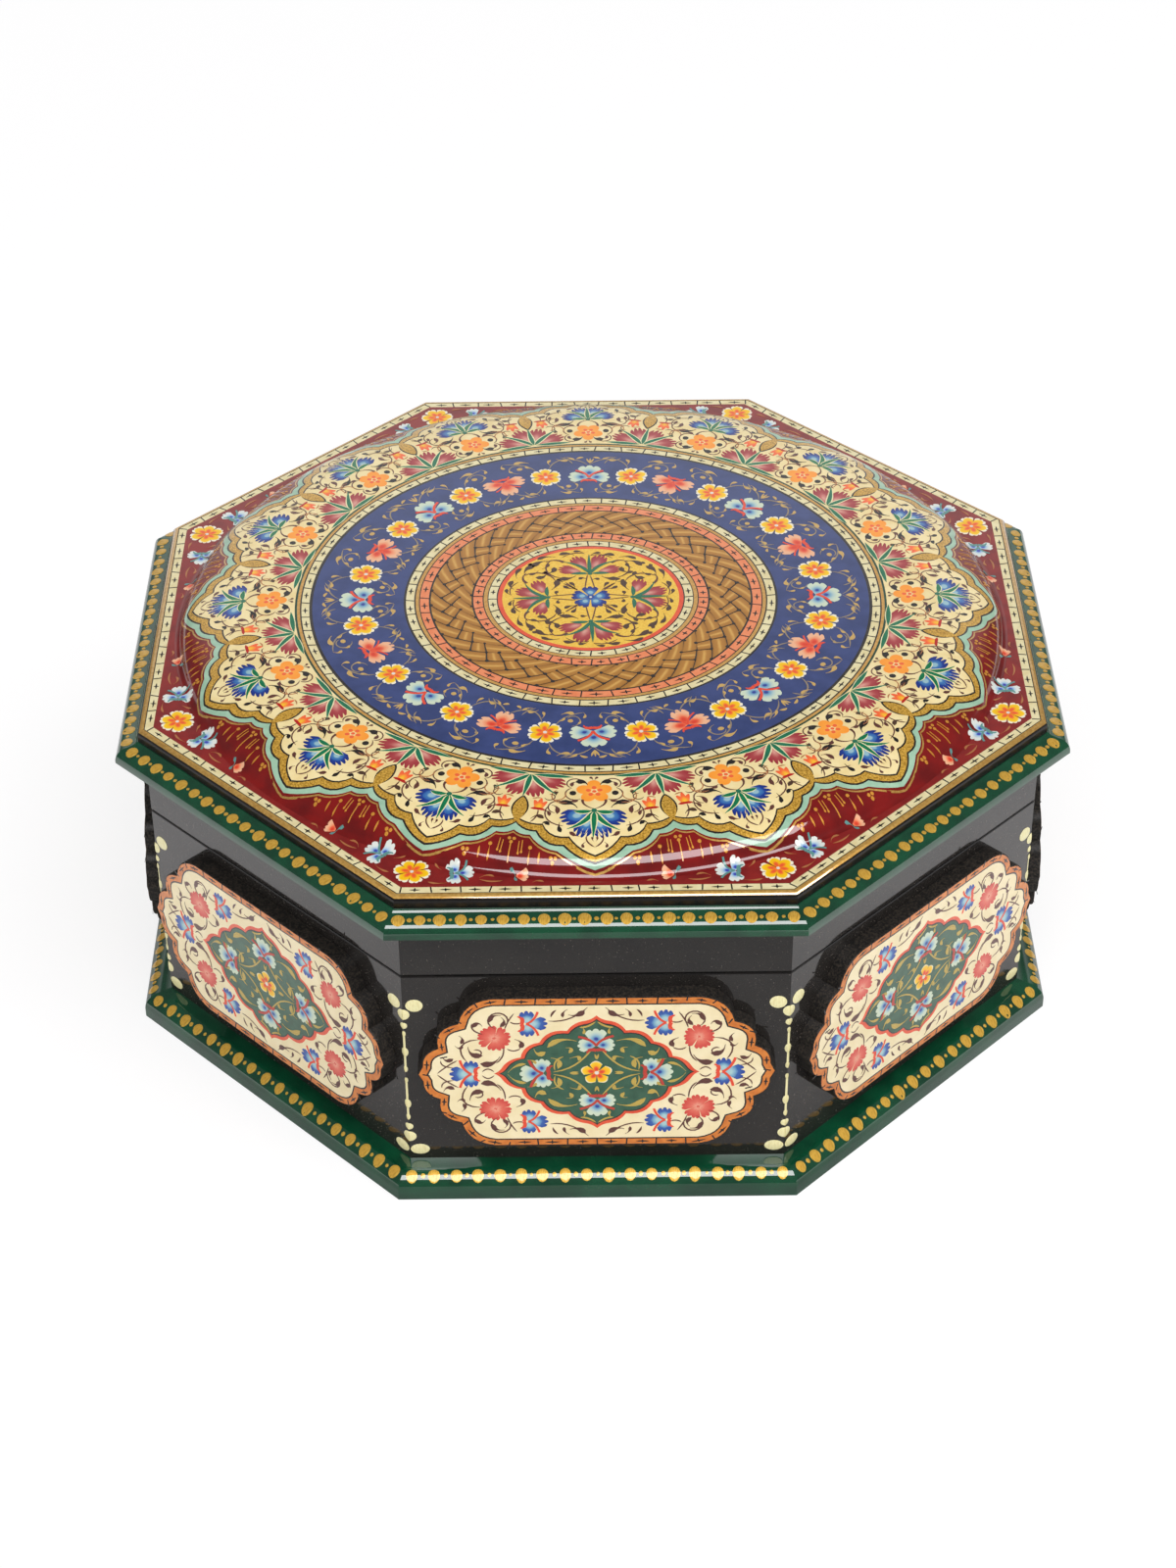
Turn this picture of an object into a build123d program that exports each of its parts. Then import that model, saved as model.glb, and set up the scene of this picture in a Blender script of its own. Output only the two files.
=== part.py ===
from build123d import *
import os
from math import cos, radians, sin, tan

os.makedirs("parts", exist_ok=True)

# Driving dimensions in millimetres. The box stands on z = 0 and its front face looks towards -Y.
wall_across = 235.0            # body across flats, over the walls
wall_thickness = 5.0
body_height = 70.1             # table to seam
rim_height = 20.3              # seam to the underside of the top board
top_board_thickness = 6.0
top_board_overhang = 1.4       # past the rim boards
top_shoulder_radius = 1.7
bottom_board_thickness = 4.0
lining_thickness = 0.8
lining_margin = 1.5            # from the seam to the edge of each wall lining
board_gap = 0.1                # between a board or lining and the piece it drops into

dome_radius = 111.2
dome_flat_radius = 90.0
dome_height = 7.4
dome_foot_height = 0.8

foot_projection = 7.5          # foot moulding, from the wall face
foot_height = 7.7
foot_nose_height = 3.6
foot_top_width = 3.5
foot_top_fall = 0.8

crown_projection = 7.5         # lid moulding, from the wall face
crown_drop = 2.3               # below the underside of the top board
crown_rise = 2.7               # above the underside of the top board
crown_bead_width = 1.0
crown_bead_fall = 0.6
crown_top_width = 2.9
crown_top_fall = 0.7
crown_nose_radius = 2.2

plaque_width = 90.8
plaque_height = 50.4
plaque_thickness = 4.25
plaque_below_seam = 3.9
corner_run = 19.2              # end of the straight top edge, in from the plaque's tip
inner_cusp_inset = 10.6        # cusp between corner and middle lobe, in from the tip
inner_cusp_drop = 8.2          # and down from the top edge
outer_cusp_inset = 5.3         # cusp between middle and end lobe, in from the tip
outer_cusp_rise = 8.75         # and up from the tip
neck_inset = 1.2               # where the end lobe turns into the straight point
neck_rise = 2.6
corner_lobe_bulge = 2.1
middle_lobe_bulge = 2.3
end_lobe_bulge = 1.3

hinge_spacing = 48.0
hinge_length = 22.0
knuckle_radius = 1.9
knuckle_end_gap = 0.15
knuckle_wall_gap = 0.3
leaf_thickness = 0.9
leaf_reach = 4.0               # into the rim, from the wall face
leaf_gap = 0.1                 # between the two closed leaves
mortise_gap = 0.05
pin_radius = 0.6
pin_clearance = 0.05
pin_head_radius = 1.0
pin_head_length = 0.5
pin_head_gap = 0.1             # from the outer knuckles

screw_inset = 2.2              # from the wall face
screw_spacing = 15.0
screw_shank_radius = 0.7
screw_head_radius = 1.5
screw_length = 7.0
screw_slot_width = 0.35
screw_slot_depth = 0.3
screw_gap = 0.05

# Derived sizes.
side_count = 8
turn = 360 / side_count
mitre = tan(radians(turn / 2))
sides = {
    "front": -90, "front_right": -45, "right": 0, "rear_right": 45,
    "rear": 90, "rear_left": 135, "left": 180, "front_left": -135,
}
hinged_side = "rear"
wall_out = wall_across / 2
wall_in = wall_out - wall_thickness
seam = body_height
board_under = seam + rim_height
board_top = board_under + top_board_thickness
board_out = wall_out + top_board_overhang
lining_in = wall_in - lining_thickness
floor_top = bottom_board_thickness + lining_thickness
lid_lining_under = board_under - lining_thickness
plaque_middle = seam - plaque_below_seam - plaque_height / 2
hinge_y = wall_out + knuckle_radius + knuckle_wall_gap
hinge_centres = {"left": -hinge_spacing / 2, "right": hinge_spacing / 2}
knuckle_length = hinge_length / 3
screw_y = wall_out - screw_inset


def outward(angle):
    return cos(radians(angle)), sin(radians(angle))


def profile_plane(angle):
    """Upright plane across one side: local x points out of the box, local y up."""
    x, y = outward(angle)
    return Plane(origin=(0, 0, 0), x_dir=(x, y, 0), z_dir=(y, -x, 0))


def face_plane(angle, distance, height):
    """Plane on one side face: local x runs along the side, local y up, local z out of the box."""
    x, y = outward(angle)
    return Plane(origin=(x * distance, y * distance, height), x_dir=(-y, x, 0), z_dir=(x, y, 0))


def octagon_prism(apothem, low, high):
    with BuildPart() as prism:
        with BuildSketch(Plane.XY.offset(low)):
            RegularPolygon(apothem, side_count, major_radius=False, rotation=turn / 2)
        extrude(amount=high - low)
    return prism


def mitred_panel(angle, inner, outer, low, high):
    """Flat board of one side, cut at both ends to meet its neighbours."""
    with BuildPart() as panel:
        with BuildSketch(Plane.XY.offset(low).rotated((0, 0, angle))):
            with BuildLine():
                Polyline(
                    (inner, -inner * mitre), (outer, -outer * mitre),
                    (outer, outer * mitre), (inner, inner * mitre), close=True,
                )
            make_face()
        extrude(amount=high - low)
    return panel


def mitre_ends(strip, angle):
    """Cut a long strip of one side at the two mitre planes."""
    with BuildPart() as cut:
        add(strip)
        for end in (-1, 1):
            x, y = outward(angle + end * (90 + turn / 2))
            split(bisect_by=Plane(origin=(0, 0, 0), z_dir=(x, y, 0)), keep=Keep.BOTTOM)
    return cut


def foot_moulding(angle):
    out = wall_out + foot_projection
    shelf = wall_out + foot_top_width
    shelf_height = foot_height - foot_top_fall
    with BuildPart() as strip:
        with BuildSketch(profile_plane(angle)):
            with BuildLine():
                Polyline(
                    (shelf, shelf_height), (wall_out, foot_height),
                    (wall_out, 0), (out, 0), (out, foot_nose_height),
                )
                EllipticalCenterArc(
                    (shelf, foot_nose_height), out - shelf, shelf_height - foot_nose_height,
                    start_angle=0, arc_size=90,
                )
            make_face()
        extrude(amount=out, both=True)
    return mitre_ends(strip.part, angle)


def crown_moulding(angle):
    out = wall_out + crown_projection
    low = board_under - crown_drop
    high = board_under + crown_rise
    bead = board_out + crown_bead_width
    shelf = bead + crown_top_width
    shelf_height = high - crown_bead_fall - crown_top_fall
    nose = shelf_height - crown_nose_radius
    with BuildPart() as strip:
        with BuildSketch(profile_plane(angle)):
            with BuildLine():
                Polyline(
                    (shelf, shelf_height), (bead, high - crown_bead_fall), (board_out, high),
                    (board_out, board_under), (wall_out, board_under), (wall_out, low),
                    (out, low), (out, nose),
                )
                EllipticalCenterArc(
                    (shelf, nose), out - shelf, crown_nose_radius, start_angle=0, arc_size=90
                )
            make_face()
        extrude(amount=out, both=True)
    return mitre_ends(strip.part, angle)


def plaque(angle):
    half_width = plaque_width / 2
    half_height = plaque_height / 2
    shoulder = (half_width - corner_run, half_height)
    inner_cusp = (half_width - inner_cusp_inset, half_height - inner_cusp_drop)
    outer_cusp = (half_width - outer_cusp_inset, outer_cusp_rise)
    neck = (half_width - neck_inset, neck_rise)
    with BuildPart() as board:
        with BuildSketch(face_plane(angle, wall_out, plaque_middle)):
            with BuildLine():
                SagittaArc(shoulder, inner_cusp, corner_lobe_bulge)
                SagittaArc(inner_cusp, outer_cusp, middle_lobe_bulge)
                SagittaArc(outer_cusp, neck, end_lobe_bulge)
                Polyline(neck, (half_width, 0), (0, 0), (0, half_height), shoulder)
            make_face()
            mirror(about=Plane.XZ)
            mirror(about=Plane.YZ)
        extrude(amount=plaque_thickness)
    return board


def leaf_mortise(centre_x, above):
    """Pocket for one leaf in the edge of a rim, above or below the seam."""
    reach = leaf_reach + mortise_gap
    with BuildPart() as pocket:
        with BuildSketch(Plane.XY.offset(seam)):
            with Locations((centre_x, wall_out - reach)):
                Rectangle(hinge_length + 2 * mortise_gap, reach, align=(Align.CENTER, Align.MIN))
        extrude(amount=above * (leaf_gap / 2 + leaf_thickness))
    return pocket


def screw_planes(centre_x, above):
    """Where one leaf's screw heads sit: on its free face, with the shanks going into the rim."""
    face = seam + above * leaf_gap / 2
    return [
        Plane(origin=(centre_x + step * screw_spacing / 2, screw_y, face), z_dir=(0, 0, -above))
        for step in (-1, 1)
    ]


def screw_body(head_plane, clearance=0.0):
    """Countersunk screw with its head flush in a plane and its point below it."""
    head = screw_head_radius + clearance
    shank = screw_shank_radius + clearance
    length = screw_length + clearance
    cone = screw_head_radius - screw_shank_radius
    upright = Plane(origin=head_plane.origin, x_dir=head_plane.x_dir, z_dir=-head_plane.y_dir)
    with BuildPart() as body:
        with BuildSketch(upright):
            with BuildLine():
                Polyline(
                    (0, 0), (head, 0), (shank, -cone), (shank, cone - length), (0, -length), close=True
                )
            make_face()
        revolve(axis=Axis(head_plane.origin, head_plane.z_dir))
    return body


def screw_group(above):
    """All the screws of the two leaves above or below the seam, with their slots."""
    with BuildPart() as group:
        for centre_x in hinge_centres.values():
            for head_plane in screw_planes(centre_x, above):
                add(screw_body(head_plane).part)
                with BuildSketch(head_plane):
                    Rectangle(2 * screw_head_radius, screw_slot_width)
                extrude(amount=-screw_slot_depth, mode=Mode.SUBTRACT)
    return group


def hinge_leaf(centre_x, above, knuckle_places):
    """Leaf with its knuckles, numbered -1 to 1 along the pin, and its countersunk holes."""
    face = seam + above * leaf_gap / 2
    depth = leaf_reach + hinge_y - wall_out
    with BuildPart() as leaf:
        with BuildSketch(Plane.XY.offset(face)):
            with Locations((centre_x, wall_out - leaf_reach)):
                Rectangle(hinge_length, depth, align=(Align.CENTER, Align.MIN))
        extrude(amount=above * leaf_thickness)
        with BuildSketch(Plane.YZ.offset(centre_x)):
            with Locations((hinge_y, seam)):
                Circle(knuckle_radius)
        extrude(amount=hinge_length / 2, both=True)
        for place in (-1, 0, 1):
            if place not in knuckle_places:
                with BuildSketch(Plane.XY.offset(seam)):
                    with Locations((centre_x + place * knuckle_length, wall_out)):
                        Rectangle(
                            knuckle_length + knuckle_end_gap, 2 * (hinge_y - wall_out),
                            align=(Align.CENTER, Align.MIN),
                        )
                extrude(amount=2 * knuckle_radius, both=True, mode=Mode.SUBTRACT)
        with BuildSketch(Plane.YZ.offset(centre_x)):
            with Locations((hinge_y, seam)):
                Circle(pin_radius + pin_clearance)
        extrude(amount=hinge_length, both=True, mode=Mode.SUBTRACT)
        for head_plane in screw_planes(centre_x, above):
            add(screw_body(head_plane, screw_gap).part, mode=Mode.SUBTRACT)
    return leaf


def hinge_pin(centre_x):
    """Pin with a flat head at each end, just outside the knuckles."""
    half_length = hinge_length / 2 + pin_head_gap
    with BuildPart() as pin:
        with BuildSketch(Plane.YZ.offset(centre_x)):
            with Locations((hinge_y, seam)):
                Circle(pin_radius)
        extrude(amount=half_length, both=True)
        for end in (-1, 1):
            with BuildSketch(Plane.YZ.offset(centre_x + end * half_length)):
                with Locations((hinge_y, seam)):
                    Circle(pin_head_radius)
            extrude(amount=end * pin_head_length)
    return pin


def rim_board(side, angle, low, high, above):
    """Wall board or lid rim board. The hinged one is cut for the leaves and their screws."""
    with BuildPart() as board:
        add(mitred_panel(angle, wall_in, wall_out, low, high).part)
        if side == hinged_side:
            for centre_x in hinge_centres.values():
                add(leaf_mortise(centre_x, above).part, mode=Mode.SUBTRACT)
                for head_plane in screw_planes(centre_x, above):
                    add(screw_body(head_plane, screw_gap).part, mode=Mode.SUBTRACT)
    return board


def lining_panels(low, high):
    """Cloth on the inside of all the side boards."""
    with BuildPart() as lining:
        for angle in sides.values():
            add(mitred_panel(angle, lining_in, wall_in, low, high).part)
    return lining


def top_board():
    with BuildPart() as board:
        add(octagon_prism(board_out, board_under, board_top).part)
        fillet(board.faces().sort_by(Axis.Z)[-1].edges(), radius=top_shoulder_radius)
    return board


def dome():
    """Low round dome: flat in the middle, with an elliptical edge on a small upright foot."""
    with BuildPart() as body:
        with BuildSketch(Plane.XZ):
            with BuildLine():
                Polyline(
                    (dome_flat_radius, board_top + dome_height), (0, board_top + dome_height),
                    (0, board_top), (dome_radius, board_top), (dome_radius, board_top + dome_foot_height),
                )
                EllipticalCenterArc(
                    (dome_flat_radius, board_top + dome_foot_height),
                    dome_radius - dome_flat_radius, dome_height - dome_foot_height,
                    start_angle=0, arc_size=90,
                )
            make_face()
        revolve(axis=Axis.Z)
    return body


def save(piece, name):
    piece.part.label = name
    export_step(piece.part, f"parts/{name}.step")


for side, angle in sides.items():
    save(rim_board(side, angle, 0, seam, above=-1), f"wall_{side}")
    save(rim_board(side, angle, seam, board_under, above=1), f"lid_rim_{side}")
    save(foot_moulding(angle), f"foot_moulding_{side}")
    save(crown_moulding(angle), f"lid_moulding_{side}")
    save(plaque(angle), f"plaque_{side}")

save(top_board(), "lid_top_board")
save(dome(), "lid_dome")
save(octagon_prism(wall_in - board_gap, 0, bottom_board_thickness), "bottom_board")
save(octagon_prism(lining_in - board_gap, bottom_board_thickness, floor_top), "floor_lining")
save(octagon_prism(wall_in - board_gap, lid_lining_under, board_under), "lid_lining")
save(lining_panels(bottom_board_thickness, seam - lining_margin), "wall_lining")
save(lining_panels(seam + lining_margin, lid_lining_under), "lid_rim_lining")

for name, centre_x in hinge_centres.items():
    save(hinge_leaf(centre_x, -1, knuckle_places=(-1, 1)), f"hinge_{name}_body_leaf")
    save(hinge_leaf(centre_x, 1, knuckle_places=(0,)), f"hinge_{name}_lid_leaf")
    save(hinge_pin(centre_x), f"hinge_{name}_pin")

save(screw_group(above=-1), "hinge_screws_body")
save(screw_group(above=1), "hinge_screws_lid")
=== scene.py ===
import math
import random

import bmesh
import bpy
from mathutils import Matrix, Vector


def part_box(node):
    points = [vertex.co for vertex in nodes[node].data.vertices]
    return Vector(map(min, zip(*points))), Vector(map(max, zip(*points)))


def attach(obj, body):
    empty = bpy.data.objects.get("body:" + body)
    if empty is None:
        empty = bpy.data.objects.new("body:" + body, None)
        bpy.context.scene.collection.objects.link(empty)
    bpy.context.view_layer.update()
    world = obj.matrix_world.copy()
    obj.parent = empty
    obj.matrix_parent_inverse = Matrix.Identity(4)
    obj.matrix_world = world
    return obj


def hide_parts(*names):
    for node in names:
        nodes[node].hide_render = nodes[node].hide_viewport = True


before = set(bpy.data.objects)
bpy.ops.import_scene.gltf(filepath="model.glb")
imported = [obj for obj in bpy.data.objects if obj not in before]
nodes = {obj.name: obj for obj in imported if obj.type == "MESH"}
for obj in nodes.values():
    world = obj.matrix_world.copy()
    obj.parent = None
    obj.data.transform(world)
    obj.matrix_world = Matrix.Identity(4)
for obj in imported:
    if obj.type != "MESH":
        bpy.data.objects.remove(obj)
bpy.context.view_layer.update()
random.seed(8)

mm = 0.001
sides = ("front", "front_right", "right", "rear_right", "rear", "rear_left", "left", "front_left")
frontAngle = -90
sideTurn = 45
cornerTurn = sideTurn / 2
sideAngles = {side: frontAngle + sideTurn * k for k, side in enumerate(sides)}
halfSide = math.tan(math.radians(cornerTurn))  # half a side of the octagon, per unit of apothem


def reach(node, axis, end=1):
    # how far a CAD node reaches along an axis, in millimetres
    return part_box(node)[end][axis] / mm


boardTop = reach("lid_top_board", 2)
boardUnder = reach("lid_top_board", 2, 0)
boardOut = reach("lid_top_board", 0)
domeTop = reach("lid_dome", 2)
domeFoot = reach("lid_dome", 0)
wallOut = reach("wall_right", 0)
plaqueFront = reach("plaque_right", 0)
plaqueMiddle = (reach("plaque_right", 2) + reach("plaque_right", 2, 0)) / 2
plaqueHalfWidth = reach("plaque_front", 0)
plaqueHalfHeight = reach("plaque_front", 2) - plaqueMiddle
mouldingOut = reach("lid_moulding_right", 0)
lidMouldingUnder = reach("lid_moulding_right", 2, 0)
footHeight = reach("foot_moulding_right", 2)
seam = reach("wall_right", 2)

# the dome's flat top, its elliptic shoulder and the lacquer that fills the angle at its foot
domeShape = {
    "flat": 90.0,
    "rise": 0.8,
    "shoulderEnd": 80.0,
    "shoulderSteps": 28,
    "filletOut": 2.1,
    "filletHold": 1.09,
    "filletLift": 0.04,
    "filletSteps": 8,
    "sunk": 0.2,
    "segments": 256,
}
shoulderWide = domeFoot - domeShape["flat"]
shoulderHigh = domeTop - boardTop - domeShape["rise"]
shoulderEnd = math.radians(domeShape["shoulderEnd"])
filletStart = (
    domeShape["flat"] + shoulderWide * math.sin(shoulderEnd),
    boardTop + domeShape["rise"] + shoulderHigh * math.cos(shoulderEnd),
)
filletMiddle = filletStart[0] + domeShape["filletHold"]
filletEnd = domeFoot + domeShape["filletOut"]


def domeHeight(r):
    if r <= domeShape["flat"]:
        return domeTop
    if r <= filletStart[0]:
        part = (r - domeShape["flat"]) / shoulderWide
        return boardTop + domeShape["rise"] + shoulderHigh * math.sqrt(1 - part * part)
    if r < filletEnd:
        bow = filletStart[0] - 2 * filletMiddle + filletEnd
        run = 2 * (filletMiddle - filletStart[0])
        t = (-run + math.sqrt(run * run - 4 * bow * (filletStart[0] - r))) / (2 * bow)
        return boardTop + (filletStart[1] - boardTop) * (1 - t) ** 2
    return boardTop


def onLid(x, y, lift):
    r = math.hypot(x, y)
    z = domeHeight(r)
    if r < domeShape["flat"] or r > filletEnd:
        return Vector((x, y, z + lift))
    step = 0.02
    slope = (domeHeight(r + step) - domeHeight(r - step)) / (2 * step)
    normal = Vector((-slope * x / r, -slope * y / r, 1)).normalized()
    return Vector((x, y, z)) + normal * lift


def sideAxes(angle):
    # the directions out of a side and along it
    out = Vector((math.cos(math.radians(angle)), math.sin(math.radians(angle)), 0))
    return out, Vector((-out.y, out.x, 0))


def onSide(angle, profile):
    # a vertical face or a moulding of one side: profile turns (y, lift) into (distance out, height)
    out, along = sideAxes(angle)

    def surface(x, y, lift):
        distance, height = profile(y, lift)
        return along * x + out * distance + Vector((0, 0, height))

    return surface


def wallProfile(y, lift):
    return wallOut + lift, y


def plaqueProfile(y, lift):
    return plaqueFront + lift, plaqueMiddle + y


def noseProfile(flatOut, flatHeight, noseHeight):
    # the rounded nose of a moulding, from the end of its sloping top down to its lower edge
    wide = mouldingOut - flatOut
    topSlope = 0.24

    def profile(y, lift):
        if y < flatOut:
            return y, flatHeight + (flatOut - y) * topSlope + lift
        part = min(1, (y - flatOut) / wide)
        return y + lift * part, noseHeight + (flatHeight - noseHeight) * math.sqrt(1 - part * part) + lift

    return profile


noses = {
    # a moulding's quarter round: where it starts, as distance out and height, and how low it turns upright
    "crown": (mouldingOut - 3.3, lidMouldingUnder + 3.95, lidMouldingUnder + 0.5),
    "foot": (mouldingOut - 5.2, footHeight - 0.5, 2.7),
}
crownProfile = noseProfile(*noses["crown"])
footProfile = noseProfile(*noses["foot"])

print("frame measured")


def tint(red, green, blue):
    # a colour as it looks on screen, 0 to 255, as Blender's linear colour
    parts = [c / 255 for c in (red, green, blue)]
    return [c / 12.92 if c < 0.04045 else ((c + 0.055) / 1.055) ** 2.4 for c in parts] + [1]


def addNode(tree, kind, inputs=(), **settings):
    made = tree.nodes.new(kind)
    for key, value in settings.items():
        setattr(made, key, value)
    for key, value in dict(inputs).items():
        if isinstance(value, bpy.types.NodeSocket):
            tree.links.new(value, made.inputs[key])
        else:
            made.inputs[key].default_value = value
    return made


def addRamp(tree, factor, stops):
    ramp = addNode(tree, "ShaderNodeValToRGB", {"Fac": factor})
    marks = ramp.color_ramp.elements
    while len(marks) < len(stops):
        marks.new(0.5)
    for mark, (place, colour) in zip(marks, sorted(stops, key=lambda stop: stop[0])):
        mark.position = place
        mark.color = colour
    return ramp.outputs["Color"]


def addMix(tree, factor, first, second):
    inputs = {0: factor, 6: first, 7: second}
    return addNode(tree, "ShaderNodeMix", inputs, data_type="RGBA").outputs[2]


def addNoise(tree, grain, detail):
    # noise whose features are grain millimetres across
    place = addNode(tree, "ShaderNodeTexCoord").outputs["Object"]
    inputs = {"Vector": place, "Scale": 1 / (grain * mm), "Detail": detail}
    return addNode(tree, "ShaderNodeTexNoise", inputs).outputs["Fac"]


def addBump(tree, shader, height, strength, depth):
    bump = addNode(tree, "ShaderNodeBump", {"Height": height, "Strength": strength, "Distance": depth * mm})
    tree.links.new(bump.outputs[0], shader.inputs["Normal"])
    return bump.outputs[0]


def newFinish(name, roughness=0.45, coat=1.0, coatRoughness=0.04, metallic=0.0, specular=0.08, gloss=1.72):
    material = bpy.data.materials.new(name)
    material.use_nodes = True
    shader = material.node_tree.nodes["Principled BSDF"]
    sockets = {
        "Roughness": roughness,
        "Coat Weight": coat,
        "Coat Roughness": coatRoughness,
        "Metallic": metallic,
        "Specular IOR Level": specular,
        "Coat IOR": gloss,
    }
    for socket, value in sockets.items():
        shader.inputs[socket].default_value = value
    return material, material.node_tree, shader


def groundPaint(name, light, dark, grain, specks=None, **finish):
    # a painted field: two close shades in soft patches, a fine brush grain and clear lacquer over it
    material, tree, shader = newFinish(name, **finish)
    patches = addNoise(tree, grain, 4)
    colour = addRamp(tree, patches, [(0.36, tint(*dark)), (0.62, tint(*light))])
    if specks:
        spots = addRamp(tree, addNoise(tree, 0.5, 1), [(0.69, (0, 0, 0, 1)), (0.73, (1, 1, 1, 1))])
        colour = addMix(tree, spots, colour, tint(*specks))
    tree.links.new(colour, shader.inputs["Base Color"])
    bump = addBump(tree, shader, addNoise(tree, 9, 1), 0.25, 0.05)
    tree.links.new(bump, shader.inputs["Coat Normal"])
    return material


def roughPaint(name, light, dark, grain):
    # bare black sides, uneven and dusty
    material, tree, shader = newFinish(name, roughness=0.75, coat=0.15, coatRoughness=0.3, specular=0.3)
    patches = addNoise(tree, grain, 5)
    colour = addRamp(tree, patches, [(0.42, tint(*dark)), (0.66, tint(*light))])
    tree.links.new(colour, shader.inputs["Base Color"])
    addBump(tree, shader, patches, 0.7, 0.2)
    return material


def goldPaint(name, light, dark, grain, metallic, gloss=1.65):
    # powdered gold in varnish: glittering grains over a duller ochre
    finish = {"roughness": 0.36, "metallic": metallic, "coatRoughness": 0.06, "gloss": gloss}
    material, tree, shader = newFinish(name, **finish)
    colour = addRamp(tree, addNoise(tree, grain, 3), [(0.34, tint(*dark)), (0.66, tint(*light))])
    tree.links.new(colour, shader.inputs["Base Color"])
    addBump(tree, shader, addNoise(tree, grain * 1.6, 2), 0.5, 0.05)
    return material


def petalPaint(name, stops, middle=(0.5, 0.0), across=1.0, along=1.0, wobble=0.06):
    # rings of colour round a point near the petal's base; the petal's own map runs from base to tip
    material, tree, shader = newFinish(name, coat=0.9)
    petalMap = addNode(tree, "ShaderNodeUVMap", uv_map="OFBake").outputs["UV"]
    moved = addNode(tree, "ShaderNodeMapping", {"Vector": petalMap})
    moved.inputs["Location"].default_value = (-middle[0] * across, -middle[1] * along, 0)
    moved.inputs["Scale"].default_value = (across, along, 0)
    distance = addNode(tree, "ShaderNodeVectorMath", {0: moved.outputs[0]}, operation="LENGTH")
    ripple = addNode(tree, "ShaderNodeTexNoise", {"Vector": petalMap, "Scale": 5.0, "Detail": 2.0})
    parts = {0: ripple.outputs["Fac"], 1: wobble * 2, 2: -wobble}
    shift = addNode(tree, "ShaderNodeMath", parts, operation="MULTIPLY_ADD")
    parts = {0: distance.outputs["Value"], 1: shift.outputs[0]}
    total = addNode(tree, "ShaderNodeMath", parts, operation="ADD").outputs[0]
    colour = addRamp(tree, total, [(place, tint(*shade)) for place, shade in stops])
    tree.links.new(colour, shader.inputs["Base Color"])
    return material


def strokePaint(name, light, dark, metallic=0.0):
    # one brush stroke: two close shades in streaks that run along it
    material, tree, shader = newFinish(name, metallic=metallic, coat=0.9)
    strokeMap = addNode(tree, "ShaderNodeUVMap", uv_map="OFBake").outputs["UV"]
    streaks = addNode(tree, "ShaderNodeMapping", {"Vector": strokeMap, "Scale": (5, 1.2, 1)}).outputs[0]
    noise = addNode(tree, "ShaderNodeTexNoise", {"Vector": streaks, "Scale": 2.0, "Detail": 3.0})
    colour = addRamp(tree, noise.outputs["Fac"], [(0.38, tint(*dark)), (0.62, tint(*light))])
    tree.links.new(colour, shader.inputs["Base Color"])
    return material


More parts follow.
